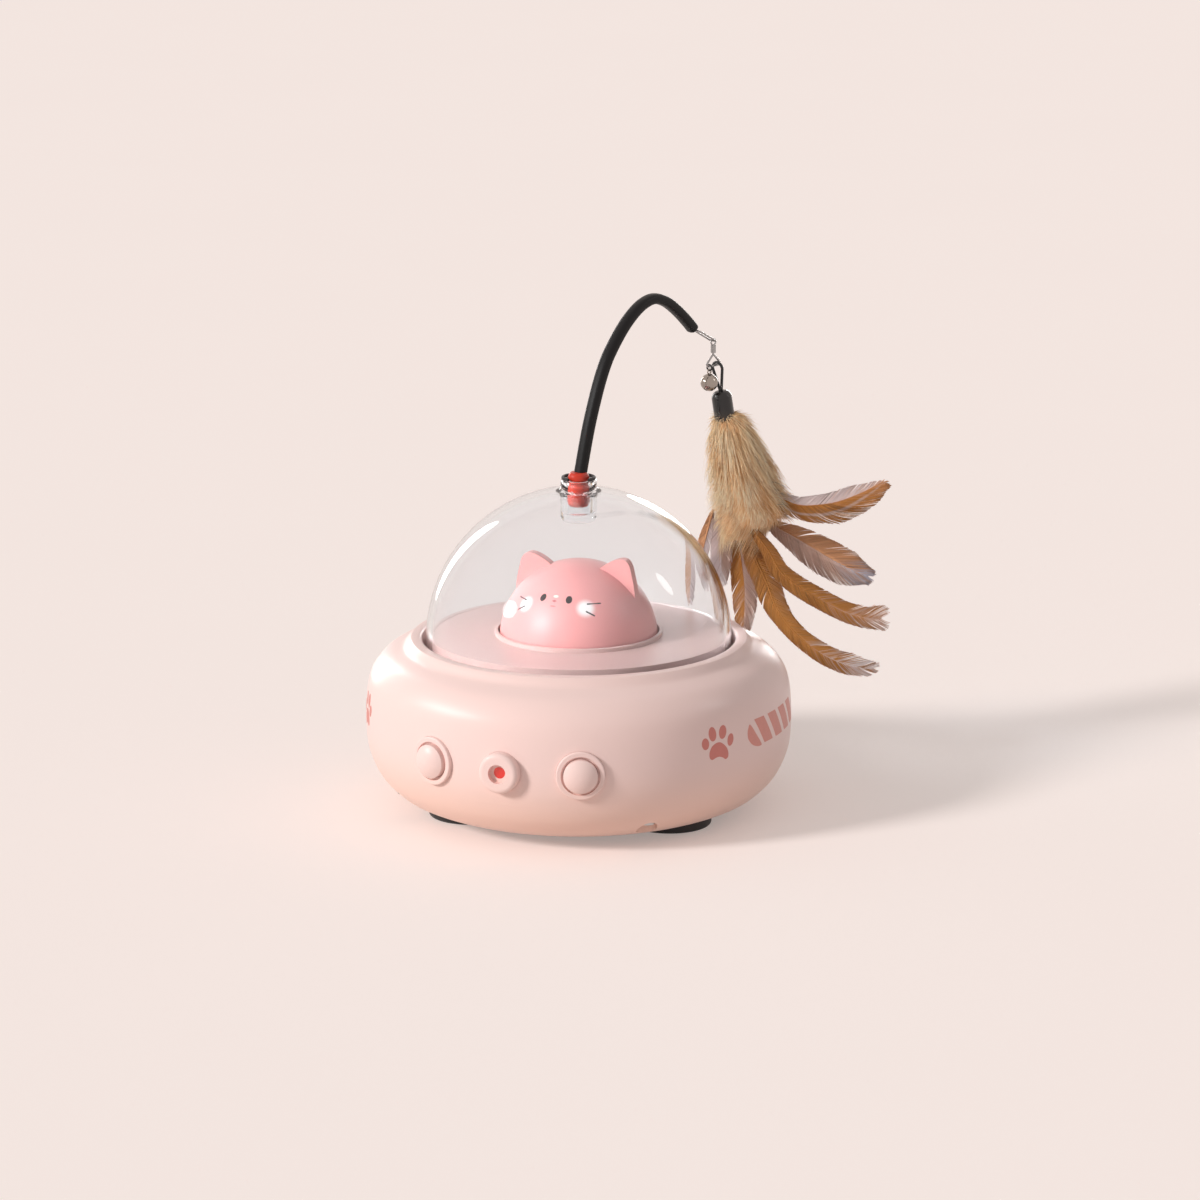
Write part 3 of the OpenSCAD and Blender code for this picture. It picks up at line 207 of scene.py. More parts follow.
camera = bpy.data.objects.new("camera", bpy.data.cameras.new("camera"))
camera.data.lens, camera.data.sensor_width = lens_mm, sensor_mm
camera_distance = lens_mm / sensor_mm * frame_width
towards_camera = math.sin(view_rise) * Vector((0, 0, 1)) - math.cos(view_rise) * back_of_view
camera.location = aim + camera_distance * towards_camera
camera.rotation_euler = towards_camera.to_track_quat("Z", "Y").to_euler()
bpy.context.scene.collection.objects.link(camera)
bpy.context.scene.camera = camera
bpy.context.scene.view_settings.view_transform = "Standard"

lit_middle = Vector((0, 0, 0.06))
sun_away, panel_away = 2, 0.9


def lamp_at(name, kind, turn, rise, distance, energy, colour=(1, 1, 1), **values):
    """A lamp that looks at the toy. turn is counted from the camera towards its right."""
    turn, rise = math.radians(turn), math.radians(rise)
    away = (math.sin(turn) * right_of_view - math.cos(turn) * back_of_view) * math.cos(rise)
    away += math.sin(rise) * Vector((0, 0, 1))
    lamp = bpy.data.lights.new(name, kind)
    lamp.energy, lamp.color = energy, colour
    for key, value in values.items():
        setattr(lamp, key, value)
    holder = bpy.data.objects.new(name, lamp)
    holder.location = lit_middle + distance * away
    holder.rotation_euler = away.to_track_quat("Z", "Y").to_euler()
    bpy.context.scene.collection.objects.link(holder)
    return holder


key = lamp_at("key", "SUN", -62, 26, sun_away, 2.35, (1, 0.985, 0.965), angle=math.radians(12))
key.visible_glossy = False
key_gloss = lamp_at("key gloss", "AREA", -77, 25, panel_away, 2.4,
                    shape="ELLIPSE", size=0.6, size_y=0.2)
rim_left = lamp_at("rim panel left", "AREA", -148, 11, panel_away, 1.6,
                   shape="ELLIPSE", size=0.16, size_y=0.56)
rim_right = lamp_at("rim panel right", "AREA", 166, 2, panel_away, 2.2,
                    shape="ELLIPSE", size=0.22, size_y=0.5)
side_panel = lamp_at("side panel", "AREA", 87, 33, panel_away, 0.3,
                     shape="ELLIPSE", size=0.09, size_y=0.24)
for panel in (key_gloss, rim_left, rim_right, side_panel):
    panel.visible_diffuse = panel.visible_transmission = False

world = bpy.data.worlds.new("studio")
world.use_nodes = True
bpy.context.scene.world = world
sky = Finish.__new__(Finish)
sky.tree = world.node_tree
even_glow, glow_strength = (1, 0.985, 0.97, 1), 0.41
seen = sky.seen_or_mirrored()
sky_colour = sky.blend(even_glow, backdrop_cream, seen)
sky_background = world.node_tree.nodes["Background"]
sky.put(sky_background.inputs[0], sky_colour)
sky.put(sky_background.inputs[1], glow_strength + seen * (1 - glow_strength))

# Housing. Two mouldings in pale pink plastic meet low on the side. They have a soft gloss, and
# low down the pink is painted warmer, a painted bounce of light from the floor.
body_pink = paint(250, 219, 213)
painted_bounce_pink = paint(254, 214, 197)
bounce_full_below, bounce_gone_above = 0.006, 0.034
shell_crease = 16


def dress(finish, *names):
    """Gives a CAD piece its material."""
    for name in names:
        nodes[name].data.materials.clear()
        nodes[name].data.materials.append(finish.material)


def moulded(name, colour, roughness=0.34, painted_bounce_colour=None):
    """Soft-gloss plastic: clouded a very little, with the fine grain that the mould leaves."""
    f = Finish(name, coat_weight=0.15, coat_roughness=0.28)
    place = f.place()
    cloud = f.noise(place, 45, 3)
    grain = f.noise(place, 1900, 2)
    tone = f.blend(shade(colour, 0.985), shade(colour, 1.01), cloud)
    # Painted bounce light: towards the floor the colour turns warmer, as if lit from below.
    if painted_bounce_colour:
        height = f.parts_of(place)[2]
        tone = f.blend(painted_bounce_colour, tone, height.rise(bounce_full_below, bounce_gone_above))
    f.give("Base Color", tone)
    f.give("Roughness", roughness + 0.05 * (cloud - 0.5) + 0.04 * (grain - 0.5))
    f.relief(grain + 2.0 * cloud, 0.000006)
    return f


housing_plastic = moulded("housing pink", body_pink, painted_bounce_colour=painted_bounce_pink)
dress(housing_plastic, "upper_housing", "lower_housing", "laser_bezel", "button_collar_left",
      "button_collar_right", "button_left", "button_right")


def evened(name, new_name, crease):
    """The same solid with its gentle curves shaded as one surface, and its real edges kept."""
    mesh = bmesh.new()
    mesh.from_mesh(nodes[name].data)
    bmesh.ops.remove_doubles(mesh, verts=mesh.verts, dist=0.000002)
    for face in mesh.faces:
        face.smooth = True
    for edge in mesh.edges:
        edge.smooth = len(edge.link_faces) == 2 and edge.calc_face_angle(0) < math.radians(crease)
    kept = bpy.data.meshes.new(new_name)
    mesh.to_mesh(kept)
    mesh.free()
    piece = bpy.data.objects.new(new_name, kept)
    bpy.context.scene.collection.objects.link(piece)
    return piece


shells = {}
for name, new_name in (("upper_housing", "upper_shell"), ("lower_housing", "lower_shell")):
    shell = shells[name] = evened(name, new_name, shell_crease)
    shell.data.materials.clear()
    shell.data.materials.append(housing_plastic.material)
    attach(shell, "base")
    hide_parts(name)

# Feet. Three flat discs of black rubber, pressed into the underside, with a fine matt texture.
foot_black = paint(38, 36, 36)


def rubber(name, colour, roughness=0.62, grain_scale=1500, grain_depth=0.00002):
    """Matt rubber with a fine even grain that is worn a little smoother in patches."""
    f = Finish(name, sheen_weight=0.12, sheen_roughness=0.5)
    place = f.place()
    patch = f.noise(place, 90, 3)
    grain = f.noise(place, grain_scale, 3)
    f.give("Base Color", f.blend(shade(colour, 0.85), shade(colour, 1.2), patch))
    f.give("Roughness", roughness + 0.16 * (patch - 0.5))
    f.relief(grain, grain_depth)
    return f


dress(rubber("foot rubber", foot_black), "foot_1", "foot_2", "foot_3", "socket_ring")

# Screws, shafts and brackets inside. Plain turned and pressed steel, brushed by its own making.
steel_grey = paint(196, 195, 193)


def brushed_steel(name, colour=steel_grey, roughness=0.3, stretch=(1, 1, 30)):
    """Bright steel with fine marks in one direction."""
    f = Finish(name, metallic=1.0)
    place = f.place()
    marks = f.noise(place, 400, 3, stretch)
    stain = f.noise(place, 120, 2)
    f.give("Base Color", f.blend(shade(colour, 0.82), colour, stain))
    f.give("Roughness", roughness + 0.18 * (marks - 0.5))
    f.relief(marks, 0.000004)
    return f


dress(brushed_steel("screw steel"), "housing_screws", "deck_screws", "head_screw", "board_screws",
      "post_clip")
dress(brushed_steel("motor steel", paint(170, 171, 172), 0.36, (30, 1, 1)), "drive_motor", "motor_bracket",
      "motor_shaft", "laser_module", "charge_port", "battery_contacts")

# Deck, post, washer, gears and cradle. White moulded plastic with a matt face, hidden inside.
inner_white = paint(226, 222, 214)
dress(moulded("inner white", inner_white, 0.5), "deck", "thrust_washer", "head_carrier", "drive_gear",
      "pinion", "battery_cradle")

# Circuit boards and their parts. Green lacquer over copper tracks, and black moulded parts.
board_green, track_green = paint(24, 92, 54), paint(70, 140, 84)
part_black = paint(34, 34, 36)


def circuit_board():
    f = Finish("board green", roughness=0.35, coat_weight=0.4, coat_roughness=0.2)
    y = f.parts_of(f.place())[1]
    rows = abs((y * 2400).sine()).rise(0.88, 0.96)
    gaps = f.noise(f.place(), 240, 1).rise(0.46, 0.54)
    f.give("Base Color", f.blend(board_green, track_green, rows * gaps))
    f.relief(rows * gaps, 0.00003)
    return f


dress(circuit_board(), "control_board", "switch_board_left", "switch_board_right")
dress(rubber("part black", part_black, 0.45), "control_parts", "switch_left", "switch_right",
      "plunger_left", "plunger_right")

# Battery. One round cell in a blue shrunk sleeve with a soft shine.
cell_blue = paint(52, 92, 168)
sleeve_ends = (0.0300, 0.0304)


def shrunk_sleeve():
    f = Finish("cell sleeve", cell_blue, coat_weight=0.5, coat_roughness=0.2)
    x = f.parts_of(f.place())[0]
    f.give("Base Color", f.blend(cell_blue, shade(cell_blue, 0.5), abs(x).rise(*sleeve_ends)))
    wrinkle = f.noise(f.place(), 150, 3, (1, 6, 6))
    f.give("Roughness", 0.32 + 0.2 * (wrinkle - 0.5))
    f.relief(wrinkle, 0.00002)
    return f


dress(shrunk_sleeve(), "battery")

# Laser. A red lens set deep in the bezel, with a painted glow: it gives out a faint red light of its own,
# though no lamp is in it.
lens_red, painted_lens_glow = paint(196, 24, 18), (1.0, 0.06, 0.03, 1)


def laser_glass():
    f = Finish("laser red", lens_red, roughness=0.12, coat_weight=0.8, coat_roughness=0.05,
               emission_strength=0.35)
    spot = f.noise(f.place(), 500, 1)
    # Painted glow: the lens shines a little by itself, more in some spots than others.
    f.give("Emission Color", f.blend(shade(painted_lens_glow, 0.5), painted_lens_glow, spot))
    f.give("Base Color", f.blend(shade(lens_red, 0.7), lens_red, spot))
    return f


dress(laser_glass(), "laser_lens")

# Prints on the housing. A paw and a striped tail in darker pink ink on each side, laid on the
# plastic as a thin film that follows the curve.
paw_pink, tail_pink = paint(220, 134, 124), paint(228, 152, 140)
film_height, film_depth, film_crease = 0.00004, 0.00005, 40
mm = 0.001
side_radius = 0.0711
well_outside = 0.12
body_surface = BVHTree.FromObject(shells["upper_housing"], bpy.context.evaluated_depsgraph_get())


def ink(name, colour, roughness=0.42):
    f = Finish(name)
    patch = f.noise(f.place(), 700, 3)
    f.give("Base Color", f.blend(shade(colour, 0.94), shade(colour, 1.04), patch))
    f.give("Roughness", roughness + 0.1 * (patch - 0.5))
    return f


def on_side(turn, height):
    """The point of the housing's side at an angle from the front, with its outward direction."""
    a = math.radians(turn)
    out = Vector((math.sin(a), -math.cos(a), 0))
    spot, normal, _, _ = body_surface.ray_cast(well_outside * out + Vector((0, 0, height)), -out)
    return spot, normal if normal.dot(out) > 0 else -normal


def film(name, shapes, lay, finish, rings=5):
    """One print: each shape is an outline round its own middle, and lay() gives the surface under
    a point of the drawing. The film is a closed solid, sunk a hair into what carries it."""
    points, faces = [], []
    for middle, outline in shapes:
        n = len(outline)
        for lift in (film_height, -film_depth):
            first = len(points)
            drawn = [middle] + [tuple(m + (c - m) * k / rings for m, c in zip(middle, corner))
                                for k in range(1, rings + 1) for corner in outline]
            for x, y in drawn:
                spot, out = lay(x, y)
                points.append(spot + lift * out)
            ring = [[first + 1 + k * n + i for i in range(n)] for k in range(rings)]
            new = [(first, ring[0][i], ring[0][(i + 1) % n]) for i in range(n)]
            new += [(a[i], b[i], b[(i + 1) % n], a[(i + 1) % n])
                    for a, b in zip(ring, ring[1:]) for i in range(n)]
            faces += new if lift > 0 else [f[::-1] for f in new]
            if lift > 0:
                top = ring[-1]
        faces += [(top[i], ring[-1][i], ring[-1][(i + 1) % n], top[(i + 1) % n]) for i in range(n)]
    piece = plain_mesh(name, points, faces)
    mesh = bmesh.new()
    mesh.from_mesh(piece.data)
    bmesh.ops.recalc_face_normals(mesh, faces=mesh.faces)
    for edge in mesh.edges:
        edge.smooth = len(edge.link_faces) == 2 and edge.calc_face_angle(0) < math.radians(film_crease)
    mesh.to_mesh(piece.data)
    mesh.free()
    piece.data.materials.append(finish.material)
    return piece


def oval(x, y, width, height, lean=0, corners=32, power=1.0):
    """An oval outline round its middle. A lean turns it clockwise, in degrees."""
    a = math.radians(-lean)
    outline = []
    for k in range(corners):
        t = 2 * math.pi * k / corners
        u = math.copysign(abs(math.cos(t)) ** power, math.cos(t)) * width / 2
        v = math.copysign(abs(math.sin(t)) ** power, math.sin(t)) * height / 2
        outline.append((x + u * math.cos(a) - v * math.sin(a), y + u * math.sin(a) + v * math.cos(a)))
    return (x, y), outline


def curve_through(points, steps):
    """A smooth closed line through the points."""
    n, line = len(points), []
    for i in range(n):
        a, b, c, d = (points[(i + k) % n] for k in (-1, 0, 1, 2))
        for k in range(steps):
            t = k / steps
            line.append(tuple(0.5 * (2 * q + (r - p) * t + (2 * p - 5 * q + 4 * r - s) * t * t
                                     + (3 * q - p - 3 * r + s) * t ** 3) for p, q, r, s in zip(a, b, c, d)))
    return line


pad_edge = [(-4.0, -0.5), (-3.5, 1.0), (-2.6, 2.1), (-0.9, 2.8), (0.7, 2.7), (2.5, 1.5), (3.7, 0.0),
            (4.2, -1.7), (3.9, -2.9), (2.9, -3.3), (1.6, -2.5), (0.0, -2.0), (-1.4, -2.2), (-2.7, -2.6),
            (-3.7, -2.0)]
paw_pad = ((0, -0.2), curve_through(pad_edge, 4))
paw_toes = [oval(-5.5, 3.1, 2.9, 3.9, -8), oval(-2.5, 5.9, 3.1, 4.8, -8), oval(1.9, 5.9, 3.2, 4.5, 12),
            oval(5.2, 2.8, 2.7, 4.1, 14)]


def print_on(turn, height, mirrored):
    """Lays a drawing in millimetres on the housing's side, round one point of it."""
    def lay(x, y):
        across = -x if mirrored else x
        return on_side(turn + math.degrees(across * mm / side_radius), height + y * mm)
    return lay


paw_ink, tail_ink = ink("paw ink", paw_pink), ink("tail ink", tail_pink)
paw_height, paw_turn = 0.0332, 60.1
for side, mirrored in ((1, False), (-1, True)):
    paw = film(f"paw_print_{'right' if side > 0 else 'left'}", [paw_pad, *paw_toes],
               print_on(side * paw_turn, paw_height, mirrored), paw_ink)
    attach(paw, "base")

tail_turn, tail_height = 75.0, 0.0350
stripe_count, stripe_first = 4, 5.2
stripe_wide, stripe_step, stripe_slant = 6.0, 8.6, -5.9
stripe_low, stripe_high = -3.9, 5.1
tip_edge = [(-3.0, 3.8), (-4.1, 3.1), (-4.7, 1.6), (-4.6, -0.2), (-3.6, -1.8), (-1.9, -3.2), (0.4, -4.1),
            (2.6, -4.4), (3.2, -3.8), (0.2, -0.1)]
tail_shapes = [((-1.4, -0.6), curve_through(tip_edge, 5))]
for k in range(stripe_count):
    left = stripe_first + k * stripe_step
    corners = [(left + stripe_slant, stripe_high), (left, stripe_low),
               (left + stripe_wide, stripe_low), (left + stripe_wide + stripe_slant, stripe_high)]
    rounded = []
    for i in range(4):
        before, here, after = corners[i - 1], corners[i], corners[(i + 1) % 4]
        for share, other in ((0.08, before), (0.03, before), (0.03, after), (0.08, after)):
            rounded.append(tuple(h + (o - h) * share for h, o in zip(here, other)))
        rounded += [tuple(h + (o - h) * k / 8 for h, o in zip(here, after)) for k in range(1, 8)]
    tail_shapes.append(((left + (stripe_wide + stripe_slant) / 2, (stripe_low + stripe_high) / 2), rounded))
for side, mirrored in ((1, False), (-1, True)):
    tail = film(f"tail_print_{'right' if side > 0 else 'left'}", tail_shapes,
                print_on(side * tail_turn, tail_height, mirrored), tail_ink)
    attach(tail, "base")

# Turntable. One pink plate with a raised collar round the cat's head. It turns with the dome.
plate_pink = paint(217, 181, 175)
dress(moulded("plate pink", plate_pink, 0.3), "turntable_plate")

# Cat's head. One hollow moulding in a deeper pink, round as a ball, with two upright ears. Its
# cheeks are sprayed soft white, and it is fixed, so that the plate turns round it.
head_pink = paint(233, 158, 155)
cheek_white = paint(255, 250, 248)
head_middle = Vector((0, 0, 0.0574))
head_radius = 0.0264
cheeks = [(-31.3, 14.6, 3.5), (26.6, 15.0, 3.9)]


def on_head(turn, height):
    """The point of the head's ball at an angle from the front and a height over its middle."""
    a, ring = math.radians(turn), math.sqrt(max(head_radius ** 2 - height ** 2, 0))
    out = Vector((math.sin(a) * ring, -math.cos(a) * ring, height)) / head_radius
    return head_middle + head_radius * out, out


def head_plastic():
    f = moulded("head pink", head_pink, 0.33)
    place = f.place()
    tone = Signal(f, f.surface.inputs["Base Color"].links[0].from_socket)
    for turn, height, width in cheeks:
        spot = on_head(turn, height * mm)[0]
        apart = f.add("ShaderNodeVectorMath", {"operation": "DISTANCE"}, [place, tuple(spot)], out="Value")
        mask = 1 - apart.rise(width * mm * 0.35, width * mm)
        tone = f.blend(tone, cheek_white, mask * 0.95)
    f.give("Base Color", tone)
    return f


dress(head_plastic(), "cat_head")

# Cat's face. Eyes, nose, mouth and whiskers are printed on the head in thin ink, and a pale film above the
# nose is a painted highlight.
eye_black, whisker_black = paint(46, 38, 40), paint(58, 48, 50)
nose_pink, painted_nose_highlight = paint(194, 106, 110), paint(252, 226, 214)
ink_black = ink("eye ink", eye_black, 0.3)


def face_at(turn, height):
    """Lays a drawing in millimetres on the head, round a point of the face."""
    def lay(x, y):
        ring = math.sqrt(head_radius ** 2 - (height * mm) ** 2)
        rise = math.asin(height * mm / head_radius) + y * mm / head_radius
        return on_head(turn + math.degrees(x * mm / ring), head_radius * math.sin(rise))
    return lay


def stroke(length, width, lean):
    """A short straight stroke with round ends, leaning up to the right by so many degrees."""
    a, half, r, outline = math.radians(lean), (length - width) / 2, width / 2, []
    for k in range(20):
        t = 2 * math.pi * k / 20
        u = math.copysign(half, math.cos(t)) + r * math.cos(t)
        outline.append((u * math.cos(a) - r * math.sin(t) * math.sin(a),
                        u * math.sin(a) + r * math.sin(t) * math.cos(a)))
    return (0, 0), outline


face_prints = [
    ("eye_left", -15.1, 17.4, oval(0, 0, 2.1, 2.8, 4), ink_black),
    ("eye_right", 11.4, 17.4, oval(0, 0, 2.1, 2.8, 4), ink_black),
    ("nose", -2.4, 16.8, oval(0, 0, 1.4, 0.8), ink("nose ink", nose_pink)),
    # A painted highlight: a pale film above the nose where the light glints.
    ("nose_painted_highlight", -2.1, 18.1, oval(0, 0, 1.8, 1.0), ink("nose painted highlight", painted_nose_highlight)),
    ("mouth", -2.5, 15.3, oval(0, 0, 1.9, 0.55), ink("mouth ink", paint(204, 126, 128))),
]
whisker_ink = ink("whisker ink", whisker_black)
whisker_width = 0.5
whiskers = [
    ("left_upper", -39.0, 15.8, 4.6, -4),
    ("left_lower", -34.6, 13.2, 3.4, 34),
    ("right_upper", 34.4, 16.2, 4.8, 0),
    ("right_lower", 30.2, 13.4, 3.4, -31),
]
for name, turn, height, length, lean in whiskers:
    drawing = stroke(length, whisker_width, lean)
    face_prints.append((f"whisker_{name}", turn, height, drawing, whisker_ink))
for name, turn, height, drawing, finish in face_prints:
    mark = film(name, [drawing], face_at(turn, height), finish, rings=3)
    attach(mark, "base")

# Dome and socket. One clear moulding, thick enough to show a bright edge, with a deep cup at the
# top that holds the wand's plug.
dome_middle, dome_outer, dome_wall = 0.0573, 0.0510, 0.002
dome_foot = 0.0549
dome_tint = (0.95, 0.98, 1.0, 1)
cup_outer, cup_inner, cup_top, cup_low, cup_floor = 0.006, 0.00378, 0.1112, 0.0967, 0.0995
cup_round, flare = 0.002, 0.0012


def turned(name, outline, around=(0, 0), steps=192, crease=30):
    """A closed outline of (radius, height) turned round the upright axis."""
    points, faces, rings = [], [], []
    for radius, height in outline:
        if radius < 1e-7:
            rings.append([len(points)] * steps)
            points.append((around[0], around[1], height))
            continue
        rings.append([len(points) + k for k in range(steps)])
        points += [(around[0] + radius * math.cos(2 * math.pi * k / steps),
                    around[1] + radius * math.sin(2 * math.pi * k / steps), height) for k in range(steps)]
    for a, b in zip(rings, rings[1:] + rings[:1]):
        for k in range(steps):
            face = [a[k], a[(k + 1) % steps], b[(k + 1) % steps], b[k]]
            face = [v for i, v in enumerate(face) if v not in face[:i]]
            if len(face) > 2:
                faces.append(face)
    piece = plain_mesh(name, points, faces)
    mesh = bmesh.new()
    mesh.from_mesh(piece.data)
    bmesh.ops.recalc_face_normals(mesh, faces=mesh.faces)
    for edge in mesh.edges:
        edge.smooth = edge.calc_face_angle(0) < math.radians(crease)
    mesh.to_mesh(piece.data)
    mesh.free()
    return piece


def sweep_arc(middle, radius, start, end, steps):
    """Points of an arc in an outline, from one angle to another, in degrees."""
    turns = [math.radians(start + (end - start) * k / steps) for k in range(steps + 1)]
    return [(middle[0] + radius * math.cos(t), middle[1] + radius * math.sin(t)) for t in turns]


def dome_outline():
    inner = dome_outer - dome_wall
    join_out = math.degrees(math.asin((cup_outer + flare) / dome_outer))
    join_in = math.degrees(math.asin((cup_outer + flare) / inner))
    low = sweep_arc((cup_outer - cup_round, cup_low + cup_round), cup_round, 0, -90, 8)
    outside = [(dome_outer - 0.0002, dome_foot), (dome_outer, dome_foot + 0.0002)]
    outside += sweep_arc((0, dome_middle), dome_outer, 0, 90 - join_out, 64)
    neck_out = dome_middle + dome_outer * math.cos(math.radians(join_out))
    outside += [(cup_outer + flare * 0.35, neck_out + flare * 0.25), (cup_outer, neck_out + flare)]
    mouth = [(cup_outer, cup_top - 0.0003), (cup_outer - 0.0003, cup_top), (cup_inner + 0.0003, cup_top),
             (cup_inner, cup_top - 0.0003), (cup_inner, cup_floor + 0.0005), (cup_inner - 0.0005, cup_floor),
             (0, cup_floor), (0, cup_low)]
    neck_in = dome_middle + inner * math.cos(math.radians(join_in))
    inside = low[::-1] + [(cup_outer, neck_in - flare), (cup_outer + flare * 0.35, neck_in - flare * 0.25)]
    inside += sweep_arc((0, dome_middle), inner, 90 - join_in, 0, 64)
    inside += [(inner, dome_foot + 0.0002), (inner + 0.0002, dome_foot)]
    return outside + mouth + inside


def clear_plastic(name, tint, roughness):
    """Clear hard plastic: it bends light as acrylic does, and lets lamps through to what it covers."""
    f = Finish(name, tint, transmission_weight=1.0, ior=1.47)
    haze = f.noise(f.place(), 60, 2)
    f.give("Roughness", roughness + 0.01 * haze)
    path = f.add("ShaderNodeLightPath").socket.node.outputs["Is Shadow Ray"]
    open_air = f.add("ShaderNodeBsdfTransparent", inputs=[shade(tint, 0.9)])
    both = f.add("ShaderNodeMixShader", inputs=[Signal(f, path), Signal(f, f.surface.outputs[0]), open_air])
    f.put(f.output.inputs[0], both)
    return f


dome = turned("clear_dome", dome_outline())
dome.data.materials.append(clear_plastic("dome clear", dome_tint, 0.0).material)
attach(dome, "turntable")
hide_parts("dome")

# The broad gloss panel would show as a white patch in the dome, so it is kept off the dome and
# off the head under it.
out_of_gloss = bpy.data.collections.new("dome and head")
for piece in (dome, nodes["cat_head"]):
    out_of_gloss.objects.link(piece)
for entry in out_of_gloss.collection_objects:
    entry.light_linking.link_state = "EXCLUDE"
key_gloss.light_linking.receiver_collection = out_of_gloss

# Wand's plug. Soft orange moulded plastic with a waist, pushed down into the cup.
plug_orange = paint(206, 52, 28)
dress(moulded("plug orange", plug_orange, 0.42), "wand_plug")

# Wand. A springy black rod in a matt sleeve, bent over at the top so that the lure hangs clear.
wand_black = paint(12, 12, 14)
wand_turn = math.radians(65.5)
wand_reach, wand_rise, wand_foot = 0.0542, 0.0585, 0.1089
wand_wide, wand_thick = 0.0044, 0.0036
bend = [(0, 0), (0.029, 0.12), (0.09, 0.336), (0.166, 0.541), (0.228, 0.669), (0.288, 0.755),
        (0.383, 0.86), (0.48, 0.938), (0.571, 0.984), (0.663, 0.998), (0.767, 0.966), (0.869, 0.9),
        (0.957, 0.828), (1, 0.788)]
out_along = Vector((math.cos(wand_turn), math.sin(wand_turn), 0))
up = Vector((0, 0, 1))


def smooth_line(points, steps):
    """A smooth open line through the points, as vectors."""
    points = [Vector(p) for p in points]
    ends = [2 * points[0] - points[1]] + points + [2 * points[-1] - points[-2]]
    line = []
    for i in range(1, len(ends) - 2):
        a, b, c, d = ends[i - 1:i + 3]
        for k in range(steps):
            t = k / steps
            line.append(0.5 * (2 * b + (c - a) * t + (2 * a - 5 * b + 4 * c - d) * t * t
                               + (3 * b - a - 3 * c + d) * t ** 3))
    return line + [points[-1]]


def swept(name, line, sections):
    """A skin over one closed section for each point of a line, closed at both ends."""
    n = len(sections[0])
    points = [p for s in sections for p in s]
    faces = [(i * n + j, i * n + (j + 1) % n, (i + 1) * n + (j + 1) % n, (i + 1) * n + j)
             for i in range(len(line) - 1) for j in range(n)]
    faces += [tuple(range(n))[::-1], tuple((len(line) - 1) * n + j for j in range(n))]
    return plain_mesh(name, points, faces)


def along(line, i):
    return (line[min(i + 1, len(line) - 1)] - line[max(i - 1, 0)]).normalized()


def bent_wand():
    line = smooth_line([s * wand_reach * out_along + (wand_foot + r * wand_rise) * up for s, r in bend], 6)
    tip = along(line, len(line) - 1)
    line = line + [line[-1] + 0.0004 * tip, line[-1] + 0.0006 * tip]
    sideways, sections = up.cross(out_along), []
    for i, p in enumerate(line):
        t = along(line, i)
        flat = t.cross(sideways).normalized()
        size = {len(line) - 1: 0.72, len(line) - 2: 0.93}.get(i, 1)
        section = []
        for k in range(40):
            a = 2 * math.pi * k / 40
            c, s = (math.copysign(abs(v) ** 0.75, v) for v in (math.cos(a), math.sin(a)))
            section.append(p + size * (flat * c * wand_thick / 2 + sideways * s * wand_wide / 2))
        sections.append(section)
    return swept("wand_sleeve", line, sections)


wand = bent_wand()
wand_rubber = rubber("wand sleeve", wand_black, 0.42, 900)
wand_rubber.give("Specular IOR Level", 0.25)
wand_rubber.give("Sheen Weight", 0.0)
wand.data.materials.append(wand_rubber.material)
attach(wand, "wand_set")
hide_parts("wand")

# Wire eye, swivel and hook. Thin bright wire bent by hand, with a small turned barrel.
dress(brushed_steel("wire steel", paint(168, 168, 168), 0.2), "wand_eye", "swivel", "snap_hook")

# Bell. A tiny pressed bell in bright plating, crossed by its slots, on a black ring.
bell_silver = paint(168, 160, 152)
dress(brushed_steel("bell plating", bell_silver, 0.14, (1, 1, 1)), "bell", "bell_pellet")

# Cord loop and cap of the lure. A loop of black cord is knotted in a glossy black cap, and the
# cap is crimped round the fur and the quills.
cord_black, cap_black, cap_rim = paint(24, 24, 25), paint(15, 15, 16), paint(46, 36, 28)
cap_black_above, cap_rim_below = 0.1265, 0.1225
dress(rubber("loop black", cord_black, 0.4, 2600), "lure_loop", "bell_ring")


def glossy_cap():
    f = Finish("cap gloss", cap_black, coat_weight=0.15, coat_roughness=0.08)
    place = f.place()
    dimple = f.noise(place, 320, 2)
    near_rim = f.parts_of(place)[2].rise(cap_black_above, cap_rim_below)
    f.give("Base Color", f.blend(cap_black, cap_rim, near_rim))
    f.give("Roughness", 0.16 + 0.1 * dimple)
    f.relief(dimple, 0.00004)
    return f


dress(glossy_cap(), "lure_cap")

# Fur. A tuft of long soft hair, tan with pale tips, bound in the cap. The hair leaves its skin
# downwards and outwards, in small locks, with a few loose dark wisps on the outer side.
fan_turn = math.radians(20.5)
lure_right = Vector((math.cos(fan_turn), math.sin(fan_turn), 0))
lure_back = Vector((-math.sin(fan_turn), math.cos(fan_turn), 0))
lure_at = Vector((0.027581, 0.060520, 0.140631))
fur_tan, fur_pale, fur_dark = paint(255, 216, 166), paint(255, 240, 210), paint(226, 174, 122)
wisp_dark = paint(96, 86, 92)
fur_rings = [(3.0, -17.0, 2.7, 2.6), (4.8, -19.6, 7.2, 5.0), (6.2, -28.0, 9.3, 6.6),
             (9.6, -39.7, 12.0, 8.2), (11.6, -46.0, 13.6, 8.6), (12.4, -51.4, 14.2, 8.4),
             (10.6, -55.6, 11.6, 6.8), (6.6, -60.5, 5.4, 4.0)]
hair_widths, wisp_width = (0.085, 0.15), 0.1
heart_depth, heart_around, heart_steps = 0.74, 40, 32


def in_lure(x, y, z):
    """A point of the lure from millimetres right, back and up of the bar it hangs on."""
    return lure_at + mm * (x * lure_right + y * lure_back + z * up)


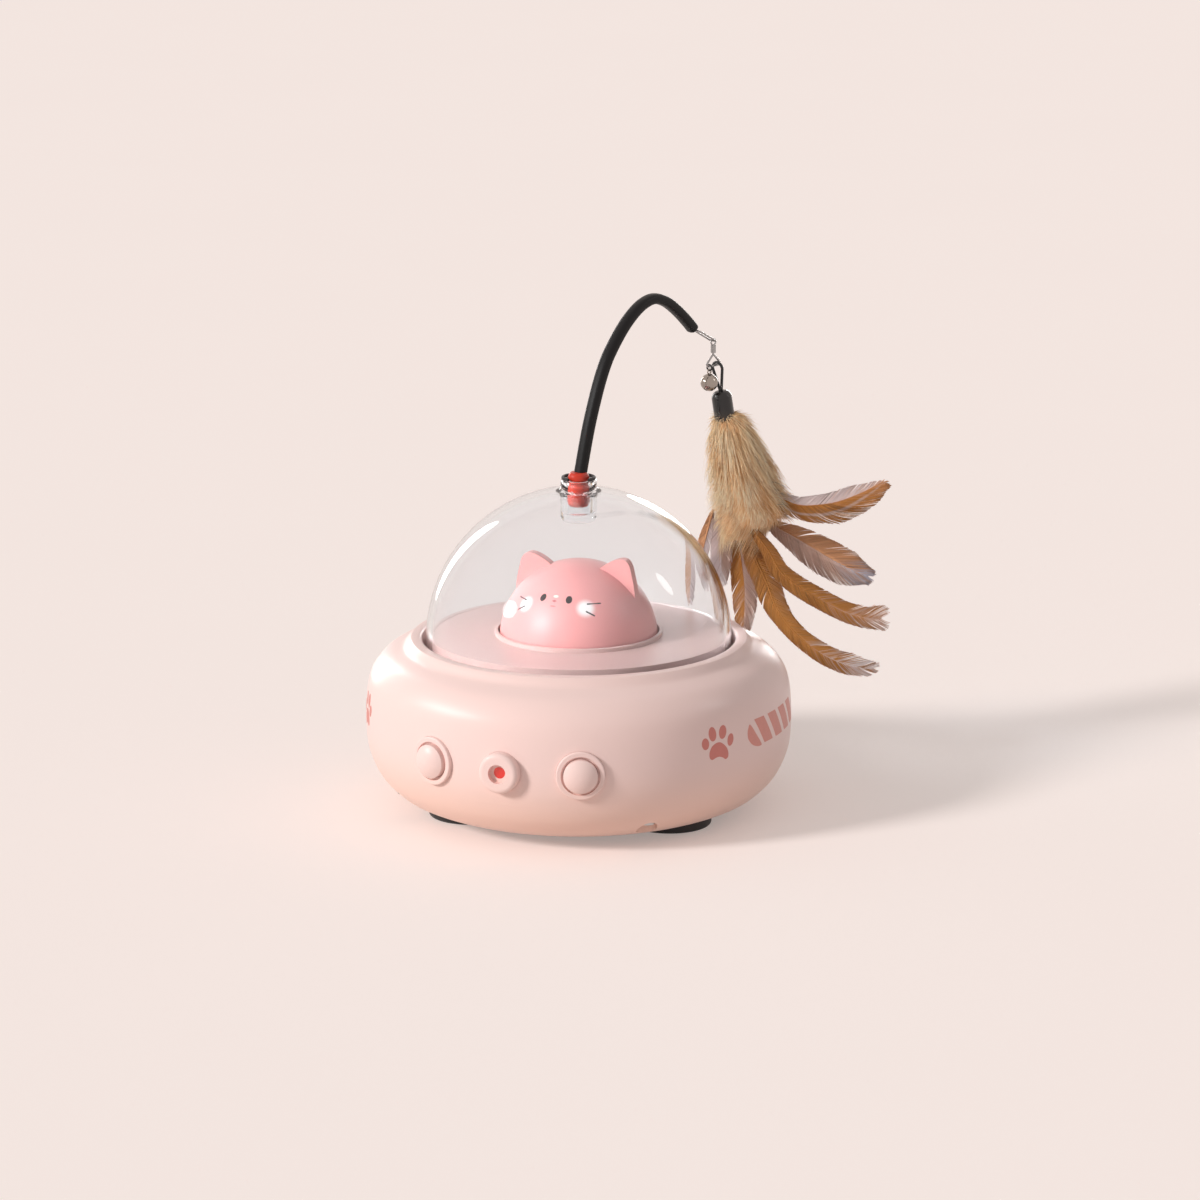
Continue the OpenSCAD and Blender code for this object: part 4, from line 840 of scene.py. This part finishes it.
def fur_skin(turn, share, depth=1.0):
    """A point of the tuft's own shape: share runs from the cap to the end."""
    place = min(share, 1) * (len(fur_rings) - 1)
    i = min(int(place), len(fur_rings) - 2)
    x, z, wide, deep = (a + (b - a) * (place - i) for a, b in zip(fur_rings[i], fur_rings[i + 1]))
    z -= max(share - 1, 0) * 30
    return Vector((x + depth * wide * math.cos(turn), depth * deep * math.sin(turn), z))


def fur_finish():
    f = Finish("fur tan", sheen_weight=0.3, sheen_roughness=0.4, specular_ior_level=0.2)
    tone = f.add("ShaderNodeAttribute", {"attribute_name": "tone"}, out="Fac")
    run = f.add("ShaderNodeAttribute", {"attribute_name": "run"}, out="Fac")
    base = f.blend(fur_dark, fur_tan, tone.rise(0.12, 0.5))
    base = f.blend(wisp_dark, base, tone.rise(-0.3, 0.0))
    f.give("Base Color", f.blend(base, fur_pale, (run * 0.6 + tone * 0.7).rise(0.5, 1.25)))
    f.give("Roughness", 0.55 + 0.2 * tone)
    return f


def fur_tuft(hairs=7600, wisps=130, steps=4):
    """The hair, each one a thin three-sided strand that tapers to a point."""
    draw = random.Random(11)
    points, faces, tones, runs = [], [], [], []

    def hair(root, knee, tip, width, tone):
        line = [(1 - t) ** 2 * root + 2 * t * (1 - t) * knee + t * t * tip
                for t in (k / steps for k in range(steps + 1))]
        first = len(points)
        for k, p in enumerate(line):
            r = width * (1 - 0.94 * (k / steps) ** 1.6)
            t = (line[min(k + 1, steps)] - line[max(k - 1, 0)]).normalized()
            a = t.cross(Vector((0.3, 1, 0.2))).normalized()
            b = t.cross(a)
            for j in range(3):
                c = 2 * math.pi * j / 3
                points.append(in_lure(*(p + r * (a * math.cos(c) + b * math.sin(c)))))
                tones.append(tone)
                runs.append(k / steps)
        for k in range(steps):
            i, m = first + k * 3, first + k * 3 + 3
            faces.extend((i + j, i + (j + 1) % 3, m + (j + 1) % 3, m + j) for j in range(3))
        faces.extend([(first + 2, first + 1, first), tuple(first + steps * 3 + j for j in range(3))])

    for _ in range(hairs):
        turn, share = draw.uniform(0, 2 * math.pi), draw.random() ** 0.9 * 0.9
        root = fur_skin(turn, max(share - 0.07, 0.0), draw.uniform(0.25, 0.6))
        reach = share + 0.05 + 0.09 * draw.random() + max(share - 0.72, 0) * draw.uniform(0, 1.6)
        tip = fur_skin(turn + draw.gauss(0, 0.12), reach, 0.82 + 0.34 * draw.random() ** 1.5)
        if share < 0.12:
            tip.z += draw.uniform(-1.5, 3.0)
        lock = noise.noise(Vector((turn * 2.2, share * 9, 1.7)))
        side = noise.noise(Vector((turn * 3.1, share * 11, 7.9)))
        stray = Vector((draw.gauss(0, 0.4), draw.gauss(0, 0.4), draw.gauss(0, 0.5)))
        tip += Vector((side * 1.5, 0, -abs(lock) * 1.5)) + stray
        out = Vector((math.cos(turn), 0.7 * math.sin(turn), 0.1))
        knee = root.lerp(tip, 0.45) + out * (tip - root).length * 0.2
        # Painted light and shade: hair on the side towards the lamp is made lighter, and on the far side
        # darker.
        painted_light_side = -0.10 * math.cos(turn)
        tone = min(max(0.58 + 0.75 * lock + painted_light_side + draw.gauss(0, 0.13), 0), 1)
        hair(root, knee, tip, draw.uniform(*hair_widths), tone)
    for _ in range(wisps):
        turn, share = draw.uniform(-0.8, 0.8), draw.uniform(0.3, 0.74)
        root = fur_skin(turn, share, 0.82)
        tip = root + Vector((draw.uniform(2, 5.5), draw.gauss(0, 0.8), -draw.uniform(0.5, 4)))
        knee = root.lerp(tip, 0.5) + Vector((0.3, 0, 0.5))
        hair(root, knee, tip, wisp_width, draw.uniform(-0.35, 0.1))
    return points, faces, tones, runs


def marked(piece, **values):
    """Keeps numbers on a mesh's points for its material to read."""
    for name, numbers in values.items():
        kept = piece.data.attributes.new(name, "FLOAT", "POINT")
        kept.data.foreach_set("value", np.array(numbers, np.float32))
    return piece


fur_look = fur_finish()
points, faces, tones, runs = fur_tuft()
fur = marked(plain_mesh("fur_tuft", points, faces), tone=tones, run=runs)
fur.data.materials.append(fur_look.material)
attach(fur, "lure_set")
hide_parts("fur_bunch")


def under_fur():
    """The dense short hair at the heart of the tuft, a closed shape that the long hair covers."""
    sections = [[in_lure(*fur_skin(2 * math.pi * j / heart_around, k / heart_steps, heart_depth))
                 for j in range(heart_around)] for k in range(heart_steps + 1)]
    piece = swept("fur_heart", sections, sections)
    return marked(piece, tone=[0.32] * len(piece.data.vertices), run=[0.2] * len(piece.data.vertices))


heart = under_fur()
heart.data.materials.append(fur_look.material)
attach(heart, "lure_set")

# Feathers. Seven feathers stand out of the fur on their quills. Each has a shaft and two vanes
# of fine barbs that sweep to the vane's edge, gold on most and grey on some, with loose tips.
feather_gold, feather_deep, feather_pale = paint(194, 128, 62), paint(132, 84, 48), paint(232, 222, 222)
feather_brown, feather_lilac, feather_blue = paint(216, 158, 116), paint(230, 210, 208), paint(188, 194, 214)
feather_rose = paint(208, 172, 156)
shaft_radius, barb_half_width, vane_hollow = 0.36, 0.135, 0.09
feathers = {
    1: dict(line=[(8.5, -1, -37), (17, -1.5, -43.5), (24, -2, -47), (30, -2, -48.6), (40.3, -2.5, -47.4),
                  (49.6, -3, -43.8), (57, -3.5, -39.7)],
            upper=[0.8, 1.5, 2.5, 3.4, 4.0, 2.8, 0.4], lower=[0.8, 1.5, 4.0, 6.5, 8.6, 6.0, 0.6],
            colours=(feather_lilac, feather_gold), tip=feather_brown, streak=0.45),
    2: dict(line=[(14, 2.5, -52), (21, 2.5, -57.4), (27, 2.5, -60.8), (34.5, 3, -65.4), (41, 3.5, -69.4),
                  (47, 4, -72.6), (52.8, 4.5, -75.0)],
            upper=[0.6, 2.6, 4.8, 6.0, 6.6, 5.6, 1.0], lower=[0.6, 2.8, 5.2, 6.8, 7.4, 6.0, 1.0],
            colours=(feather_brown, feather_rose), tip=feather_blue, streak=0),
    3: dict(line=[(10, -4.5, -53), (14, -4.5, -58.5), (18, -4.5, -64), (22, -4.5, -71), (27.5, -4.5, -75.8),
                  (35.5, -5, -80.6), (44, -5.5, -85.0), (51, -6, -87.0), (57, -6.5, -87.2)],
            upper=[0.6, 2.0, 2.8, 3.3, 3.5, 3.6, 3.4, 4.0, 4.4],
            lower=[0.6, 2.0, 3.0, 3.4, 3.5, 3.6, 3.4, 3.8, 4.2],
            colours=(feather_gold, feather_gold), tip=feather_rose, streak=0),
    4: dict(line=[(9, 0, -55), (13, 0, -66), (17.5, 0, -76), (21, -0.5, -85), (27, -2, -93),
                  (34.5, -3.5, -99), (42, -5, -102.8), (50, -6, -104.8), (55, -6.5, -105)],
            upper=[0.6, 4.0, 4.8, 4.4, 3.3, 3.3, 3.9, 4.4, 1.4],
            lower=[0.6, 3.8, 4.6, 4.3, 3.1, 3.1, 3.4, 3.6, 1.2],
            colours=(feather_gold, feather_gold), tip=feather_pale, streak=0),
    5: dict(line=[(6, 3.5, -54), (7.6, 3.5, -62), (8.8, 3.5, -69.7), (9.8, 3.5, -77.6), (10.2, 3.5, -85.5),
                  (9.8, 3.5, -93)],
            upper=[0.6, 3.4, 4.2, 4.4, 4.2, 1.8], lower=[0.6, 3.2, 4.1, 4.3, 4.0, 1.8],
            colours=(feather_rose, feather_gold), tip=feather_rose, streak=0),
    6: dict(line=[(1, 1, -50), (1.4, 1.5, -57), (1.7, 2, -64), (1.9, 2, -70), (2, 2, -76)],
            upper=[0.6, 3.0, 3.8, 3.8, 1.2], lower=[0.6, 2.8, 3.6, 3.6, 1.2],
            colours=(feather_rose, feather_lilac), tip=feather_pale, streak=0),
    7: dict(line=[(-1, -1, -50), (-3.4, -1.5, -59), (-5.2, -1.5, -67), (-6.2, -1.5, -75), (-6.7, -1.5, -82)],
            upper=[0.6, 2.2, 2.4, 2.2, 0.8], lower=[0.6, 2.2, 2.4, 2.2, 0.8],
            colours=(feather_lilac, feather_brown), tip=feather_lilac, streak=0),
}


def feather_finish(name, colours, tip, streak):
    """Barbs: one colour on each vane, darker at the root, and pale and loose at the tip."""
    f = Finish(name, roughness=0.6, sheen_weight=0.2, sheen_roughness=0.35, specular_ior_level=0.3)
    side, run, edge, tone = (f.add("ShaderNodeAttribute", {"attribute_name": n}, out="Fac")
                             for n in ("vane", "run", "edge", "tone"))
    vane = f.blend(colours[1], colours[0], side.rise(0.45, 0.55))
    band = edge.rise(0.30, 0.38) * (1 - edge.rise(0.42, 0.52)) * (1 - side) * streak
    vane = f.blend(vane, feather_pale, band)
    vane = f.blend(vane, feather_deep, (0.34 - run).rise(0.0, 0.3) * 0.5)
    vane = f.blend(vane, tip, (run + (tone - 0.5) * 1.1).rise(0.78, 1.02) * 0.8)
    f.give("Base Color", f.blend(shade(feather_deep, 0.6), vane, tone.rise(0.0, 0.5)))
    return f


def at_share(values, share):
    """The value at a share of the way along a list."""
    place = min(max(share, 0), 1) * (len(values) - 1)
    i = min(int(place), len(values) - 2)
    return values[i] + (values[i + 1] - values[i]) * (place - i)


def feather(number, plan, barb_step=0.19, barb_parts=5):
    """The shaft as a tapering rod, and each barb as a thin blade from the shaft to the vane's edge."""
    draw = random.Random(100 + number)
    line = smooth_line(plan["line"], 12)
    lengths = [0.0]
    for a, b in zip(line, line[1:]):
        lengths.append(lengths[-1] + (b - a).length)
    total = lengths[-1]
    points, faces = [], []
    marks = {"vane": [], "run": [], "edge": [], "tone": []}

    def keep(p, **values):
        points.append(in_lure(*p))
        for key, kept in marks.items():
            kept.append(values.get(key, 0.0))
        return len(points) - 1

    def spot(s, sign, across):
        """The point at a length along the shaft and a distance out from it on one side."""
        i = min(max(bisect.bisect(lengths, s) - 1, 0), len(line) - 2)
        t = (s - lengths[i]) / (lengths[i + 1] - lengths[i])
        ahead = along(line, i).lerp(along(line, i + 1), min(t, 1)).normalized()
        side = Vector((ahead.z, 0, -ahead.x)).normalized() * sign
        return line[i] + (line[i + 1] - line[i]) * t + side * across + Vector((0, vane_hollow * across, 0))

    for k, p in enumerate(line):
        ahead = along(line, k)
        side = Vector((ahead.z, 0, -ahead.x)).normalized()
        depth = ahead.cross(side)
        r = shaft_radius * (1 - 0.82 * k / (len(line) - 1))
        for j in range(6):
            c = 2 * math.pi * j / 6
            keep(p + r * (side * math.cos(c) + depth * math.sin(c)), run=k / len(line), tone=0.7)
        if k:
            i = 6 * k
            faces += [(i - 6 + j, i - 6 + (j + 1) % 6, i + (j + 1) % 6, i + j) for j in range(6)]
    faces.append(tuple(range(6))[::-1])
    faces.append(tuple(len(points) - 6 + j for j in range(6)))

    for sign, widths in ((-1, plan["upper"]), (1, plan["lower"])):
        s, lock_end = 0.02 * total, 0.0
        while s < total * 0.99:
            share = s / total
            loose = max(share - 0.74, 0) / 0.26
            if s > lock_end:
                lock_mid = s + draw.uniform(1.2, 4.5) * (1 - 0.7 * loose)
                lock_end = 2 * lock_mid - s
                lock_tone, lock_length = draw.gauss(0, 0.06), 1 + draw.gauss(0, 0.02 + 0.10 * loose)
                pull = (draw.random() < 0.16) * 0.16 + 0.02 + 0.4 * loose
            width = at_share(widths, share)
            sweep = (1.05 + 0.75 * share) * width
            end = min(s + sweep + (lock_mid - s) * pull, total + 1.0 + 2.0 * draw.random() * loose)
            out_to = at_share(widths, min(end / total, 1)) * 0.6 + width * 0.4
            out_to *= lock_length * (1 + draw.gauss(0, 0.02 + 0.06 * loose))
            past_tip = max(s + sweep - total, 0) / sweep
            out_to *= 1 - 0.8 * past_tip ** 1.5
            ripple, half = draw.gauss(0, 0.04), barb_half_width * (1 - 0.3 * loose)
            tone = min(max(0.52 + lock_tone + draw.gauss(0, 0.09), 0), 1)
            trail = [spot(s + (end - s) * t, sign, out_to * (1.3 * t - 0.3 * t * t))
                     + Vector((0, ripple * (1 + t), 0))
                     for t in (k / barb_parts for k in range(barb_parts + 1))]
            rows = []
            for k, q in enumerate(trail):
                t = k / barb_parts
                way = (trail[min(k + 1, barb_parts)] - trail[max(k - 1, 0)]).normalized()
                across = way.cross(Vector((0, 1, 0))).normalized() * half * (1 - 0.35 * t * t)
                flat = Vector((0, 0.05 * (1 - 0.5 * t), 0))
                values = dict(vane=1.0 if sign < 0 else 0.0, edge=t, tone=tone,
                              run=share + 0.5 * (end - s) / total * t)
                rows.append([keep(q + corner, **values) for corner in (across, flat, -across, -flat)])
            for a, b in zip(rows, rows[1:]):
                faces.extend((a[j], a[(j + 1) % 4], b[(j + 1) % 4], b[j]) for j in range(4))
            faces += [tuple(rows[0][::-1]), tuple(rows[-1])]
            s += barb_step * (1 + 0.5 * loose)
    return marked(plain_mesh(f"feather_{number}_vanes", points, faces), **marks)


for number, plan in feathers.items():
    piece = feather(number, plan)
    barbs = feather_finish(f"feather {number}", plan["colours"], plan["tip"], plan["streak"])
    piece.data.materials.append(barbs.material)
    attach(piece, "lure_set")
    "feather_grey" if number in (2, 6, 7) else "feather_gold"
    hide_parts(f"feather_{number}")
